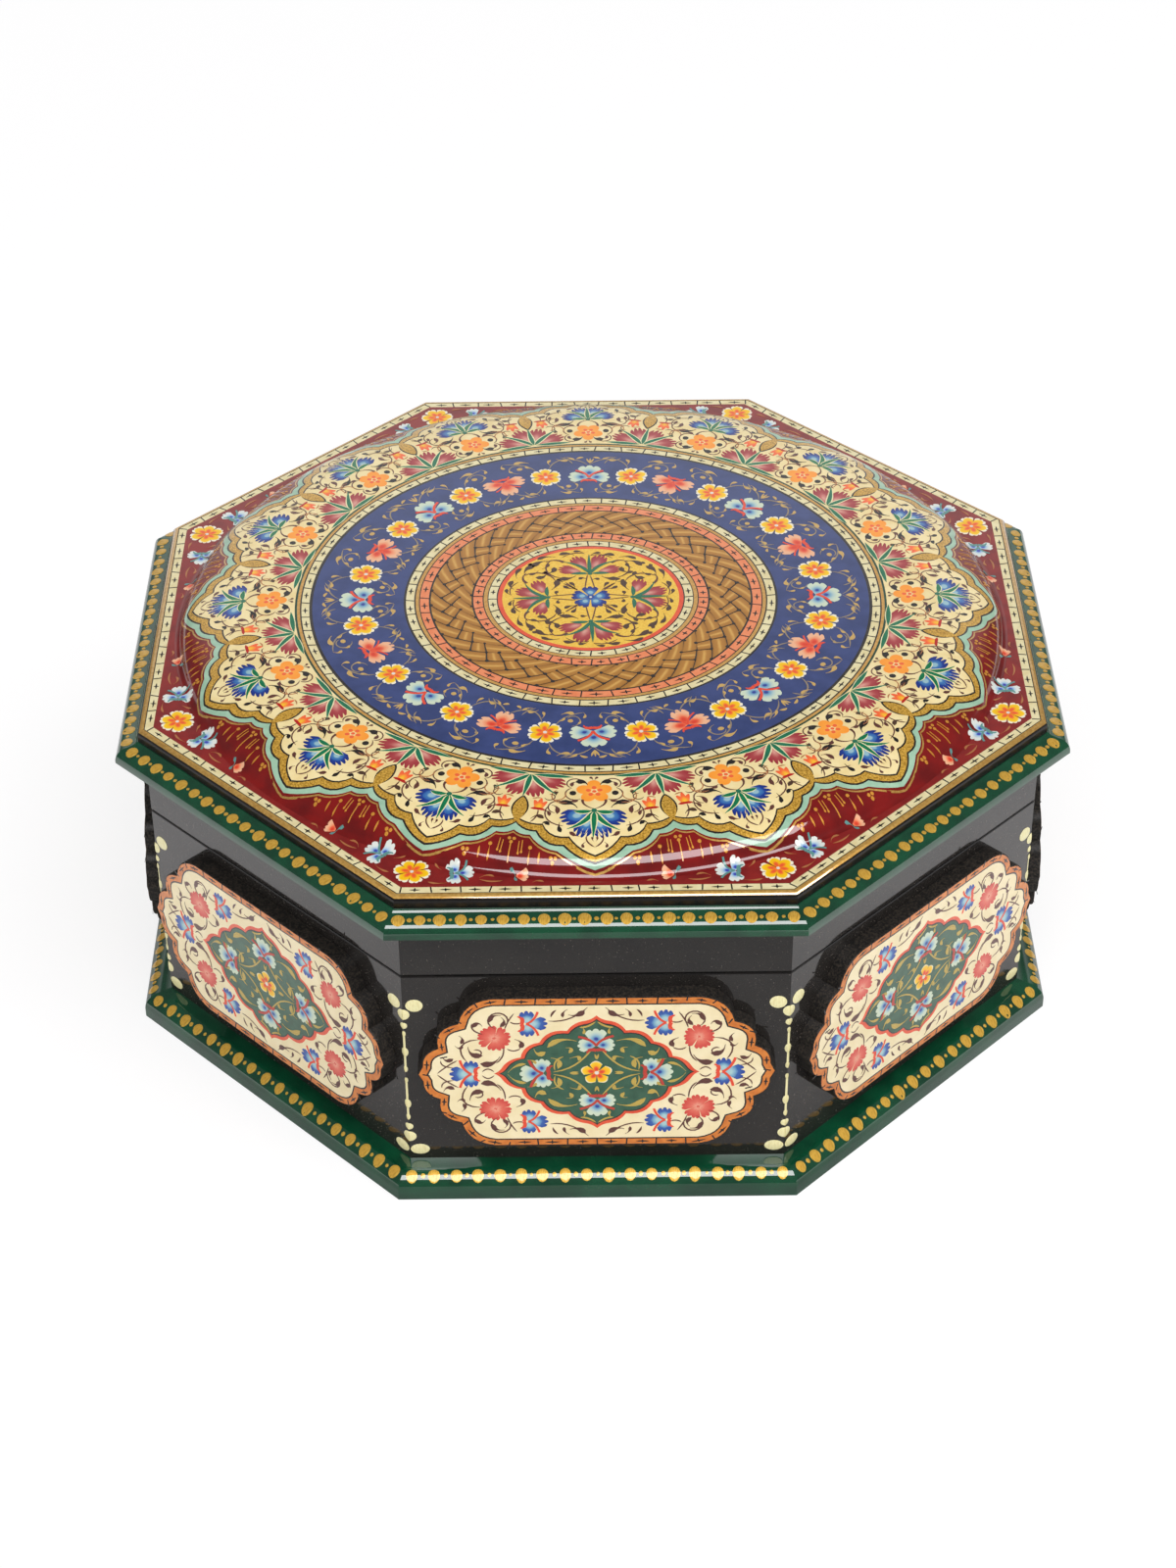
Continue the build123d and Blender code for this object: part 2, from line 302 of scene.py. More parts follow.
paints = {
    "redLacquer": groundPaint("redLacquer", (130, 14, 12), (104, 8, 9), 7, coatRoughness=0.03),
    "redPlate": groundPaint("redPlateLacquer", (143, 28, 24), (120, 18, 18), 6, coatRoughness=0.05),
    "blackLacquer": groundPaint("blackLacquer", (22, 19, 17), (13, 12, 11), 6, coat=0.5, coatRoughness=0.25),
    "plaqueSide": roughPaint("plaqueSideBlack", (60, 53, 45), (12, 11, 10), 0.5),
    "wallBlack": groundPaint(
        "wallBlackLacquer",
        (40, 37, 34),
        (33, 30, 28),
        14,
        specks=(104, 97, 90),
        roughness=0.55,
        coatRoughness=0.07,
    ),
    "greenLacquer": groundPaint("greenLacquer", (8, 74, 46), (3, 58, 36), 8, coatRoughness=0.03, gloss=1.95),
    "cream": groundPaint("creamGround", (247, 229, 172), (239, 216, 152), 5),
    "plaqueCream": groundPaint("plaqueCream", (250, 235, 192), (243, 226, 178), 5),
    "paleCream": groundPaint("paleCreamGround", (236, 226, 178), (226, 212, 158), 3),
    "mint": groundPaint("mintGround", (168, 204, 176), (150, 190, 162), 3),
    "navy": groundPaint("navyGround", (54, 70, 124), (44, 60, 110), 6),
    "salmon": groundPaint("salmonGround", (241, 146, 98), (234, 131, 82), 2),
    "ink": groundPaint("inkLine", (48, 42, 36), (30, 26, 24), 3),
    "darkGreen": groundPaint("darkGreenLine", (26, 78, 56), (18, 60, 44), 3),
    "vermilion": groundPaint("vermilionLine", (236, 92, 54), (224, 76, 44), 3),
    "bloodLine": groundPaint("bloodLine", (150, 44, 34), (120, 30, 24), 2),
    "goldLine": goldPaint("goldLine", (226, 178, 98), (204, 150, 68), 0.8, 0.25),
    "goldBand": goldPaint("goldBand", (244, 196, 84), (168, 120, 32), 0.45, 0.3),
    "goldDisc": goldPaint("goldDisc", (254, 214, 84), (242, 190, 62), 0.6, 0.12),
    "goldShoulder": goldPaint("goldShoulder", (232, 186, 96), (205, 152, 66), 0.7, 0.5, gloss=2.4),
    "orangeBorder": groundPaint("orangeBorder", (222, 132, 50), (204, 112, 36), 2),
    "medallionGreen": groundPaint("medallionGreen", (56, 99, 76), (44, 85, 64), 3),
    "braid": petalPaint(
        "braidStrand",
        [
            (0.0, (214, 168, 86)),
            (0.09, (200, 146, 66)),
            (0.16, (180, 125, 50)),
            (0.4, (170, 116, 42)),
            (0.5, (144, 96, 34)),
        ],
        middle=(0.5, 0.5),
        along=0.12,
    ),
    "blueIris": petalPaint(
        "paleBluePetal",
        [
            (0.07, (48, 66, 150)),
            (0.12, (100, 148, 188)),
            (0.2, (138, 180, 198)),
            (0.31, (184, 208, 200)),
            (0.44, (208, 222, 196)),
        ],
        middle=(0.5, 0.36),
        wobble=0.03,
    ),
    "plateIris": petalPaint(
        "whiteBluePetal",
        [
            (0.08, (62, 70, 176)),
            (0.12, (96, 132, 204)),
            (0.17, (150, 188, 224)),
            (0.3, (200, 218, 226)),
            (0.42, (226, 232, 224)),
        ],
        middle=(0.5, 0.34),
        wobble=0.03,
    ),
    "coralIris": petalPaint(
        "coralPetal",
        [(0.08, (222, 64, 40)), (0.18, (234, 98, 64)), (0.29, (242, 152, 108)), (0.45, (242, 184, 144))],
        middle=(0.5, 0.3),
    ),
    "sunPetal": petalPaint(
        "yellowPetal",
        [
            (0.07, (238, 88, 46)),
            (0.2, (246, 120, 36)),
            (0.32, (250, 188, 12)),
            (0.59, (252, 208, 16)),
            (0.67, (246, 240, 216)),
        ],
        middle=(0.5, 0.26),
        across=1.4,
        wobble=0.03,
    ),
    "bluePalmette": petalPaint(
        "bluePetal",
        [
            (0.11, (150, 190, 200)),
            (0.17, (68, 124, 180)),
            (0.28, (50, 100, 168)),
            (0.33, (28, 60, 144)),
            (0.5, (20, 44, 124)),
        ],
        middle=(0.5, 0.4),
        across=0.9,
        wobble=0.03,
    ),
    "maroonPalmette": petalPaint(
        "maroonPetal",
        [(0.06, (218, 156, 140)), (0.2, (196, 112, 104)), (0.34, (172, 68, 70)), (0.6, (158, 48, 56))],
        middle=(0.5, 0.28),
        across=1.2,
        wobble=0.1,
    ),
    "orangePetal": petalPaint(
        "orangePetal", [(0.0, (255, 174, 80)), (0.5, (255, 163, 54)), (1.0, (253, 154, 48))], wobble=0.15
    ),
    "tulipPetal": petalPaint(
        "tulipPetal",
        [(0.0, (254, 214, 60)), (0.3, (252, 180, 50)), (0.55, (250, 112, 58)), (0.95, (238, 90, 52))],
    ),
    "plaquePetal": petalPaint(
        "plaqueBluePetal",
        [(0.1, (170, 206, 208)), (0.26, (118, 168, 198)), (0.38, (56, 98, 172)), (0.62, (40, 72, 158))],
        middle=(0.5, 0.28),
        across=0.8,
    ),
    "daisyPetal": petalPaint(
        "daisyPetal",
        [(0.0, (240, 168, 142)), (0.35, (228, 112, 92)), (0.7, (218, 84, 70)), (1.0, (210, 70, 62))],
    ),
    "emberPetal": petalPaint(
        "emberPetal",
        [
            (0.08, (226, 60, 36)),
            (0.2, (238, 104, 30)),
            (0.3, (250, 180, 10)),
            (0.62, (252, 206, 30)),
            (0.72, (246, 236, 204)),
        ],
        middle=(0.5, 0.24),
        across=1.2,
        wobble=0.04,
    ),
}
strokeShades = {
    # light and dark shade, and how metallic a paint is
    "leafGreen": ((10, 132, 82), (8, 96, 62)),
    "leafMoss": ((22, 128, 88), (16, 94, 66)),
    "leafDark": ((44, 122, 92), (26, 96, 72)),
    "leafEdge": ((244, 236, 190), (232, 226, 174)),
    "scrollBrown": ((112, 66, 56), (74, 44, 40)),
    "scrollDark": ((88, 62, 44), (64, 44, 36)),
    "scrollGold": ((214, 180, 108), (190, 152, 84)),
    "vineGold": ((158, 140, 112), (132, 120, 106)),
    "scrollOlive": ((206, 178, 84), (176, 150, 70)),
    "scrollRust": ((190, 128, 74), (162, 96, 58)),
    "slopeGold": ((228, 164, 66), (204, 134, 46), 0.3),
    "stemRed": ((240, 84, 52), (222, 66, 44)),
    "stemDeepRed": ((204, 66, 50), (182, 54, 46)),
    "bloodRed": ((196, 34, 26), (170, 26, 22)),
    "aquaLeaf": ((108, 162, 156), (86, 138, 134)),
    "spotBlue": ((46, 72, 142), (34, 56, 122)),
    "spotPale": ((240, 236, 224), (224, 218, 204)),
    "spotCoral": ((244, 112, 60), (236, 94, 50)),
    "inkMark": ((42, 36, 34), (24, 22, 22)),
    "creamBead": ((250, 244, 192), (238, 228, 166)),
    "goldBead": ((236, 192, 84), (206, 156, 54), 0.4),
}
for name, shades in strokeShades.items():
    paints[name] = strokePaint(name, *shades)

print("paints mixed")


def addPiece(name, bm, body, paint, replaced=(), sharp=35):
    bmesh.ops.scale(bm, vec=(mm, mm, mm), verts=bm.verts)
    bm.normal_update()
    for edge in bm.edges:
        edge.smooth = edge.calc_face_angle(0) < math.radians(sharp)
    for face in bm.faces:
        face.smooth = True
    mesh = bpy.data.meshes.new(name)
    bm.to_mesh(mesh)
    bm.free()
    mesh.materials.append(paints[paint])
    piece = bpy.data.objects.new(name, mesh)
    bpy.context.scene.collection.objects.link(piece)
    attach(piece, body)
    if replaced:
        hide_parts(*replaced)
    return piece


chipThick = 0.05  # of strokes and painted sheets


def thicken(bm, shift=None):
    # closes an open sheet: a copy is pushed down by one shift, or by what each corner keeps in "down"
    down = bm.verts.layers.float_vector.get("down")
    whole = list(bm.verts) + list(bm.edges) + list(bm.faces)
    grown = bmesh.ops.extrude_face_region(bm, geom=whole, use_keep_orig=True)["geom"]
    for vert in [v for v in grown if isinstance(v, bmesh.types.BMVert)]:
        vert.co += vert[down] if down else shift
    bmesh.ops.recalc_face_normals(bm, faces=bm.faces)
    if down:
        bm.verts.layers.float_vector.remove(down)


pots = {}  # one bmesh for each paint of each area, filled chip by chip
areas = {
    # the body it rides on, its slot and the start of its pieces' names
    "lid": ("lid", "lid_paint", "lid"),
    "crown": ("lid", "lid_paint", "lidMoulding"),
    "plaque": ("body", "plaque_paint", "plaque"),
    "wall": ("body", "plaque_paint", "wall"),
    "foot": ("body", "green_lacquer", "footMoulding"),
}


def pot(area, paint):
    if (area, paint) not in pots:
        bm = bmesh.new()
        bm.loops.layers.uv.new("OFBake")
        bm.verts.layers.float_vector.new("down")
        pots[area, paint] = bm
    return pots[area, paint]


def curveAt(points, t):
    # the point of the curve at t and its direction, by de Casteljau's rule or from a function of t
    if callable(points):
        here = Vector(points(t))
        return here, Vector(points(t + 0.01)) - Vector(points(t - 0.01))
    row = [Vector(p) for p in points]
    while len(row) > 2:
        row = [a.lerp(b, t) for a, b in zip(row, row[1:])]
    return row[0].lerp(row[1], t), row[1] - row[0]


strokeWidths = {
    # the share of its width that a stroke has at t, from its start to its end
    "leaf": lambda t: 0.08 + 0.92 * math.sin(math.pi * t) ** 0.8,
    "blade": lambda t: 0.1 + 0.9 * math.sin(math.pi * t**0.62) ** 0.9,
    "comma": lambda t: 0.08 + 0.92 * math.sin(math.pi * t**2.4),
    "line": lambda t: min(1, 0.2 + 5 * min(t, 1 - t)),
    "taper": lambda t: 1 - 0.85 * t,
    "bar": lambda t: 1,
}

stackOrder = {"next": 0, "cycle": 61, "step": 0.0003, "layer": 0.02}  # keeps overlapping strokes apart
mapMargin = 0.01
# where the brush meets each ground, above the solid under it
brushLifts = {"slope": 0.03, "plate": 0.05, "border": 0.04, "plaque": 0.03, "medallion": 0.08, "wall": 0.02}


class Brush:
    # paints chips on a surface that takes (x, y, lift) in millimetres to a point of the box
    def __init__(self, area, surface):
        self.area = area
        self.surface = surface

    def at(self, x, y, turn=0, size=1, flip=1):
        c = math.cos(math.radians(turn)) * size
        s = math.sin(math.radians(turn)) * size
        inner = self.surface
        return Brush(
            self.area,
            lambda u, v, lift: inner(x + c * flip * u - s * v, y + s * flip * u + c * v, lift),
        )

    def loose(self, x, y, turn=0, size=1, flip=1):
        # the same, a little off, as a hand puts it
        return self.at(
            x + random.uniform(-0.12, 0.12),
            y + random.uniform(-0.12, 0.12),
            turn + random.uniform(-2.5, 2.5),
            size * random.uniform(0.97, 1.03),
            flip,
        )

    def around(self, angle, radius):
        inner = self.surface

        def bent(u, v, lift):
            a = math.radians(angle) + u / radius
            return inner(v * math.cos(a), v * math.sin(a), lift)

        return Brush(self.area, bent)

    def facing(self, angle):
        # x runs along a side of the octagon and y outwards
        c = math.cos(math.radians(angle))
        s = math.sin(math.radians(angle))
        inner = self.surface
        return Brush(self.area, lambda u, v, lift: inner(-s * u + c * v, c * u + s * v, lift))

    def lay(self, paint, verts, shape, layer):
        bm = pot(self.area, paint)
        marks = {}
        down = bm.verts.layers.float_vector["down"]
        stackOrder["next"] = (stackOrder["next"] + 1) % stackOrder["cycle"]
        base = layer * stackOrder["layer"] + stackOrder["next"] * stackOrder["step"]
        for vert in verts:
            x, y, u, v, rise = shape(vert.co.x, vert.co.y)
            vert.co = self.surface(x, y, base + rise)
            vert[down] = self.surface(x, y, base - chipThick) - vert.co
            marks[vert] = [mapMargin + (1 - 2 * mapMargin) * place for place in (u, v)]
        faces = list({face for vert in verts for face in vert.link_faces})
        chipMap = bm.loops.layers.uv["OFBake"]
        for face in faces:
            face.normal_update()
            for loop in face.loops:
                loop[chipMap].uv = marks[loop.vert]

    def petal(self, paint, length, width, scallops=3, notch=0.14, crown=0.3, base=0.2, layer=1, fan=0.9):
        # opens like a fan from its base to a tip cut into rounded fingers
        def shape(s, t):
            t = (t + 1) / 2
            half = width / 2 * (base + (1 - base) * t**fan)
            edge = 1 - crown * s * s
            if scallops:
                edge *= 1 - notch + notch * abs(math.sin(scallops * math.pi * (s + 1) / 2)) ** 0.5
            x = s * half
            y = t * edge * length
            return x, y, 0.5 + x / width, y / length, 0

        columns = max(8, scallops * 4)
        grid = bmesh.ops.create_grid(pot(self.area, paint), x_segments=columns, y_segments=3, size=1)
        self.lay(paint, grid["verts"], shape, layer)

    def stroke(self, paint, points, width, kind="leaf", steps=8, layer=2):
        def shape(s, t):
            t = (t + 1) / 2
            here, along = curveAt(points, t)
            aside = Vector((-along.y, along.x)).normalized() * s * width / 2 * strokeWidths[kind](t)
            return here.x + aside.x, here.y + aside.y, (s + 1) / 2, t, 0

        grid = bmesh.ops.create_grid(pot(self.area, paint), x_segments=1, y_segments=steps, size=1)
        self.lay(paint, grid["verts"], shape, layer)

    def dot(self, paint, x, y, radius, stretch=1, layer=2, segments=10, dome=0):
        def shape(s, t):
            rise = dome * (1 - s * s - t * t)
            return x + s * radius, y + t * radius * stretch, (s + 1) / 2, (t + 1) / 2, rise

        disc = bmesh.ops.create_circle(
            pot(self.area, paint), cap_ends=True, cap_tris=True, segments=segments, radius=1
        )
        self.lay(paint, disc["verts"], shape, layer)

    def halfDot(self, paint, y, wide, high):
        # one half of a bead that straddles an edge at x = 0
        beadRise = 0.2
        fromEdge = 0.01

        def shape(s, t):
            a = math.pi / 2 * t
            out = (s + 1) / 2
            rise = beadRise * (1 - out * out) * math.cos(a)
            x = fromEdge + out * wide * math.cos(a)
            return x, y + high * math.sin(a), out, (t + 1) / 2, rise

        grid = bmesh.ops.create_grid(pot(self.area, paint), x_segments=3, y_segments=8, size=1)
        self.lay(paint, grid["verts"], shape, 2)

    def patch(self, paint, corners, gap, layer=1, size=4):
        # four corners, the near edge from left to right and the far edge back; gap parts it from the next
        a, b, c, d = [Vector(p) for p in corners]
        across = 1 - 2 * gap / (b - a).length
        along = 1 - 2 * gap / (d - a).length

        def shape(s, t):
            u, v = (s * across + 1) / 2, (t * along + 1) / 2
            here = a.lerp(b, u).lerp(d.lerp(c, u), v)
            return here.x, here.y, (s + 1) / 2, (t + 1) / 2, 0

        grid = bmesh.ops.create_grid(pot(self.area, paint), x_segments=size, y_segments=size, size=1)
        self.lay(paint, grid["verts"], shape, layer)


def spinProfile(points, steps=160, octagon=False, closed=True):
    # turns an outline of (radius, height) round the box's axis; eight steps make an octagon
    bm = bmesh.new()
    grow = 1 / math.cos(math.radians(cornerTurn)) if octagon else 1
    start = Matrix.Rotation(math.radians(cornerTurn), 3, "Z")
    verts = [bm.verts.new(start @ Vector((r * grow, 0, z))) for r, z in points]
    pairs = list(zip(verts, verts[1:] + (verts[:1] if closed else [])))
    edges = [bm.edges.new(pair) for pair in pairs]
    bmesh.ops.spin(
        bm,
        geom=verts + edges,
        cent=(0, 0, 0),
        axis=(0, 0, 1),
        angle=math.tau,
        steps=len(sides) if octagon else steps,
        use_merge=True,
    )
    bmesh.ops.remove_doubles(bm, verts=bm.verts, dist=1e-4)
    for edge in [e for e in bm.edges if not e.link_faces]:
        bm.edges.remove(edge)
    bmesh.ops.recalc_face_normals(bm, faces=bm.faces)
    return bm


def ringSlab(inner, outer, top, octagon=False):
    # a thin flat ring of paint; with no inner radius it is a disc
    under = top - chipThick
    outline = [(inner, top), (outer, top), (outer, under), (inner, under)]
    return spinProfile(outline, octagon=octagon, closed=inner > 0)


def mergeInto(target, part):
    # copies one bmesh into another through a mesh
    carrier = bpy.data.meshes.new("carrier")
    part.to_mesh(carrier)
    part.free()
    target.from_mesh(carrier)
    bpy.data.meshes.remove(carrier)


print("tools ready")

# the lid's body: top board, dome and the rings painted on it
boardEdge = {"shoulder": 1.7, "steps": 10, "goldSweep": 48, "goldLift": 0.05}
plateFields = {
    # paint, inner and outer reach, and lift above the board
    "lidRedPlate": ("redPlate", 0, 114.5, 0.03),
    "lidBorderLine": ("bloodLine", 114.5, 114.8, 0.035),
    "lidBorderCream": ("paleCream", 114.8, 116.95, 0.04),
}


def shoulderArc(sweep, lift=0.0):
    # over the board's rounded shoulder, from its top outwards
    shoulder, steps = boardEdge["shoulder"], boardEdge["steps"]
    turns = [math.radians(sweep) * step / steps for step in range(steps + 1)]
    out, up, r = boardOut - shoulder, boardTop - shoulder, shoulder + lift
    return [(out + r * math.sin(a), up + r * math.cos(a)) for a in turns]


def buildTopBoard():
    points = [(0, boardTop)] + shoulderArc(90) + [(boardOut, boardUnder), (0, boardUnder)]
    bm = spinProfile(points, octagon=True, closed=False)
    addPiece("lidTopBoard", bm, "lid", "blackLacquer", ["lid_top_board"])
    sweep, lift = boardEdge["goldSweep"], boardEdge["goldLift"]
    gold = shoulderArc(sweep, lift) + shoulderArc(sweep, -lift)[::-1]
    addPiece("lidGoldShoulder", spinProfile(gold, octagon=True), "lid", "goldShoulder")
    for name, (paint, inner, outer, lift) in plateFields.items():
        addPiece(name, ringSlab(inner, outer, boardTop + lift, octagon=True), "lid", paint)


def buildDome():
    points = [(r, domeTop) for r in (0, 30, 60)]
    for step in range(domeShape["shoulderSteps"] + 1):
        part = step / domeShape["shoulderSteps"]
        r = domeShape["flat"] + shoulderWide * math.sin(shoulderEnd * part)
        points.append((r, domeHeight(r)))
    for step in range(1, domeShape["filletSteps"] + 1):
        r = filletStart[0] + (filletEnd - filletStart[0]) * step / domeShape["filletSteps"]
        points.append((r, domeHeight(r) + domeShape["filletLift"]))
    foot = boardTop - domeShape["sunk"]
    points += [(filletEnd, foot), (0, foot)]
    bm = spinProfile(points, steps=domeShape["segments"], closed=False)
    addPiece("lidDome", bm, "lid", "redLacquer", ["lid_dome"])


paintTop = 0.14  # where the painted fields lie above the dome
inkTop = 0.12
ringFields = {
    # paint and the rings it fills, from the middle out
    "lidInkGround": ("ink", [(0, 80.25)]),
    "lidGoldDisc": ("goldDisc", [(0, 24.06)]),
    "lidDiscRim": ("vermilion", [(24.06, 25.27)]),
    "lidCreamRings": ("paleCream", [(25.6, 27.8), (48.0, 50.2), (76.4, 78.5)]),
    "lidGoldRings": ("goldLine", [(28.05, 29.1), (46.7, 47.6), (78.9, 79.7)]),
    "lidSalmonRings": ("salmon", [(29.4, 31.9), (44.0, 46.4)]),
    "lidNavyRing": ("navy", [(50.8, 75.6)]),
    "lidGreenLine": ("darkGreen", [(79.7, 80.3)]),
}


def buildRings():
    for name, (paint, spans) in ringFields.items():
        bm = bmesh.new()
        lift = inkTop if paint == "ink" else paintTop
        for inner, outer in spans:
            mergeInto(bm, ringSlab(inner, outer, domeTop + lift))
        addPiece(name, bm, "lid", paint)


# the sixteen lobes, as nested fields that lie higher the further in they end
lobes = 16
lobeTurn = 360 / lobes
lobeSheet = {"inner": 80.2, "rows": 26, "bandDeep": 4.5, "bandRows": 8}
lobeBows = {"rim": (0.7, 1.0, 0.5), "band": (0.8, 1.5, 0.8), "field": (0.8, 1.6, 0.7)}
lobedFields = {
    # paint, lift and bows, then the radii of the tip, two cusps and valley and their degrees aside
    "lidOuterHair": ("goldShoulder", 0.03, "rim", (111.9, 108.2, 104.2, 103.05), (0, 5.15, 8.95, 11.25)),
    "lidRedGap": ("redLacquer", 0.05, "rim", (111.5, 107.8, 103.8, 102.65), (0, 5.05, 8.9, 11.25)),
    "lidMintBand": ("mint", 0.07, "rim", (111.0, 107.4, 103.3, 102.2), (0, 4.95, 8.9, 11.25)),
    "lidBandEdge": ("ink", 0.09, "band", (110.15, 106.05, 102.25, 99.95), (0, 4.25, 8.2, 11.25)),
    "lidGoldBand": ("goldBand", 0.11, "band", (109.7, 105.6, 101.8, 99.45), (0, 4.1, 8.05, 11.25)),
    "lidFieldEdge": ("ink", 0.125, "field", (108.65, 103.65, 100.05, 98.45), (0, 3.6, 7.45, 11.25)),
    "lidCreamField": ("cream", paintTop, "field", (108.2, 103.2, 99.6, 98.0), (0, 3.5, 7.4, 11.25)),
}


def bowedLine(spots, bows, steps):
    # a line through the spots, each stretch bowed outwards; one with no bow stays straight
    line = []
    for start, end, bow in zip(spots, spots[1:], bows):
        chord = (end - start).normalized()
        aside = Vector((-chord.y, chord.x))
        count = steps if bow else 1
        for step in range(count):
            t = step / count
            line.append(start.lerp(end, t) + aside * 4 * bow * t * (1 - t))
    line.append(spots[-1])
    return line


def halfLobe(radii, degrees, bows):
    # from tip to valley, as (angle, radius)
    turns = [math.radians(d) for d in degrees]
    spots = [Vector((r * math.sin(a), r * math.cos(a))) for r, a in zip(radii, turns)]
    return [(math.atan2(p.x, p.y), p.length) for p in bowedLine(spots, bows, 5)]


def buildLobedFields():
    for name, (paint, lift, bows, radii, degrees) in lobedFields.items():
        half = halfLobe(radii, degrees, lobeBows[bows])
        whole = [(-a, r) for a, r in reversed(half)] + half[1:-1]
        outline = []
        for lobe in range(lobes):
            turn = math.tau * lobe / lobes
            outline += [(a + turn, r) for a, r in whole]
        outline.append((outline[0][0] + math.tau, outline[0][1]))
        # the cream field is filled in, the others are bands that end under the next one
        filled = paint == "cream"
        rows = lobeSheet["rows"] if filled else lobeSheet["bandRows"]
        columns = len(outline) - 1
        bm = bmesh.new()
        grid = bmesh.ops.create_grid(bm, x_segments=columns, y_segments=rows, size=1)
        for vert in grid["verts"]:
            angle, r = outline[round((vert.co.x + 1) / 2 * columns)]
            start = lobeSheet["inner"] if filled else r - lobeSheet["bandDeep"]
            distance = start + (r - start) * math.sin(math.pi / 4 * (vert.co.y + 1))
            vert.co = onLid(distance * math.cos(angle), distance * math.sin(angle), lift)
        bmesh.ops.remove_doubles(bm, verts=bm.verts, dist=1e-4)
        thicken(bm, Vector((0, 0, -chipThick)))
        addPiece(name, bm, "lid", paint)


buildTopBoard()
buildDome()
buildRings()
buildLobedFields()
print("lid grounds painted")

# mouldings round the lid and the foot, one mitred length for each side


def mouldingLength(angle, outline):
    bm = bmesh.new()
    out, along = sideAxes(angle)
    near = [bm.verts.new(out * d - along * d * halfSide + Vector((0, 0, z))) for d, z in outline]
    face = bm.faces.new(near)
    grown = bmesh.ops.extrude_face_region(bm, geom=[face], use_keep_orig=True)["geom"]
    for vert in [v for v in grown if isinstance(v, bmesh.types.BMVert)]:
        vert.co += along * 2 * halfSide * vert.co.dot(out)
    bmesh.ops.recalc_face_normals(bm, faces=bm.faces)
    return bm


def noseOutline(flatOut, flatHeight, noseHeight, steps=12):
    wide = mouldingOut - flatOut
    high = flatHeight - noseHeight
    turns = [math.pi / 2 * step / steps for step in range(steps + 1)]
    return [(flatOut + wide * math.sin(a), noseHeight + high * math.cos(a)) for a in turns]


crownBead = {"wide": 1.0, "drop": 0.6, "steps": 5}


def buildMouldings():
    crownTop = reach("lid_moulding_right", 2)
    shares = [step / crownBead["steps"] for step in range(crownBead["steps"] + 1)]
    bead = [(boardOut + crownBead["wide"] * t, crownTop - crownBead["drop"] * t * t) for t in shares]
    crown = [(wallOut, lidMouldingUnder), (wallOut, boardUnder), (boardOut, boardUnder)]
    crown += bead + noseOutline(*noses["crown"]) + [(mouldingOut, lidMouldingUnder)]
    foot = [(wallOut, 0), (wallOut, footHeight)]
    foot += noseOutline(*noses["foot"], steps=16) + [(mouldingOut, 0)]
    for side, angle in sideAngles.items():
        for name, body, outline in (("lid", "lid", crown), ("foot", "body", foot)):
            bm = mouldingLength(angle, outline)
            old = [f"{name}_moulding_{side}"]
            addPiece(f"{name}Moulding_{side}", bm, body, "greenLacquer", old, 25)


mouldingDots = {
    "crown": {"count": 20, "out": 122.1, "big": 1.62, "small": 0.55, "profile": crownProfile},
    "foot": {"count": 18, "out": 122.8, "big": 1.55, "small": 0.5, "profile": footProfile},
}
dotSpread = {"drift": 0.2, "size": (0.9, 1.06), "stretch": (0.9, 1.08), "small": (0.75, 1.2)}


def paintMouldingDots():
    for area, row in mouldingDots.items():
        half = row["out"] * halfSide
        pitch = 2 * half / row["count"]
        for angle in sideAngles.values():
            brush = Brush(area, onSide(angle, row["profile"]))
            for k in range(row["count"]):
                x = -half + (k + 0.5) * pitch
                drift = random.uniform(-dotSpread["drift"], dotSpread["drift"])
                size = row["big"] * random.uniform(*dotSpread["size"])
                stretch = random.uniform(*dotSpread["stretch"])
                brush.dot("goldBead", x + drift, row["out"], size, stretch, layer=3, segments=14, dome=0.12)
                if k:
                    x = x - pitch / 2 + drift
                    small = row["small"] * random.uniform(*dotSpread["small"])
                    brush.dot("goldBead", x, row["out"], small, layer=3, segments=8, dome=0.08)


buildMouldings()
paintMouldingDots()
print("mouldings run")

# plaques: a raised block with a cusped outline, an orange border, a cream field and a green medallion
plaqueShape = {
    "flatTo": 19.2,
    "inner": (10.6, 8.2),
    "outer": (5.3, 8.75),
    "neck": (1.2, 2.6),
    "bows": (2.1, 2.3, 1.3),
    "sheets": (0.3, 1.8, 0.45),
    "edge": 0.25,
}
medallionShape = {
    "points": [(0, 19.3), (2.6, 17.6), (7.4, 14.2), (14.4, 10.4), (19.2, 5.4), (24.0, 2.0), (26.0, 0)],
    "bows": (-0.25, 0.75, 1.55, 1.25, 0.75, -0.25),
    "nested": [(1, 1), (0.95, 0.94), (0.934, 0.92)],
}


def wholeOutline(points, bows):
    # mirrors a quarter, from the middle of the top to the middle of the right, and leaves out the
    # doubled points on the axes
    right = [(p.x, p.y) for p in bowedLine([Vector(p) for p in points], bows, 6)]
    lower = [(x, -y) for x, y in reversed(right[:-1])]
    half = right + lower
    left = [(-x, y) for x, y in reversed(half[1:-1])]
    return half + left


def plaqueOutline():
    w, h = plaqueHalfWidth, plaqueHalfHeight
    inner, outer, neck = plaqueShape["inner"], plaqueShape["outer"], plaqueShape["neck"]
    points = [
        (0, h),
        (w - plaqueShape["flatTo"], h),
        (w - inner[0], h - inner[1]),
        (w - outer[0], outer[1]),
        (w - neck[0], neck[1]),
        (w, 0),
    ]
    return wholeOutline(points, (0,) + plaqueShape["bows"] + (0,))


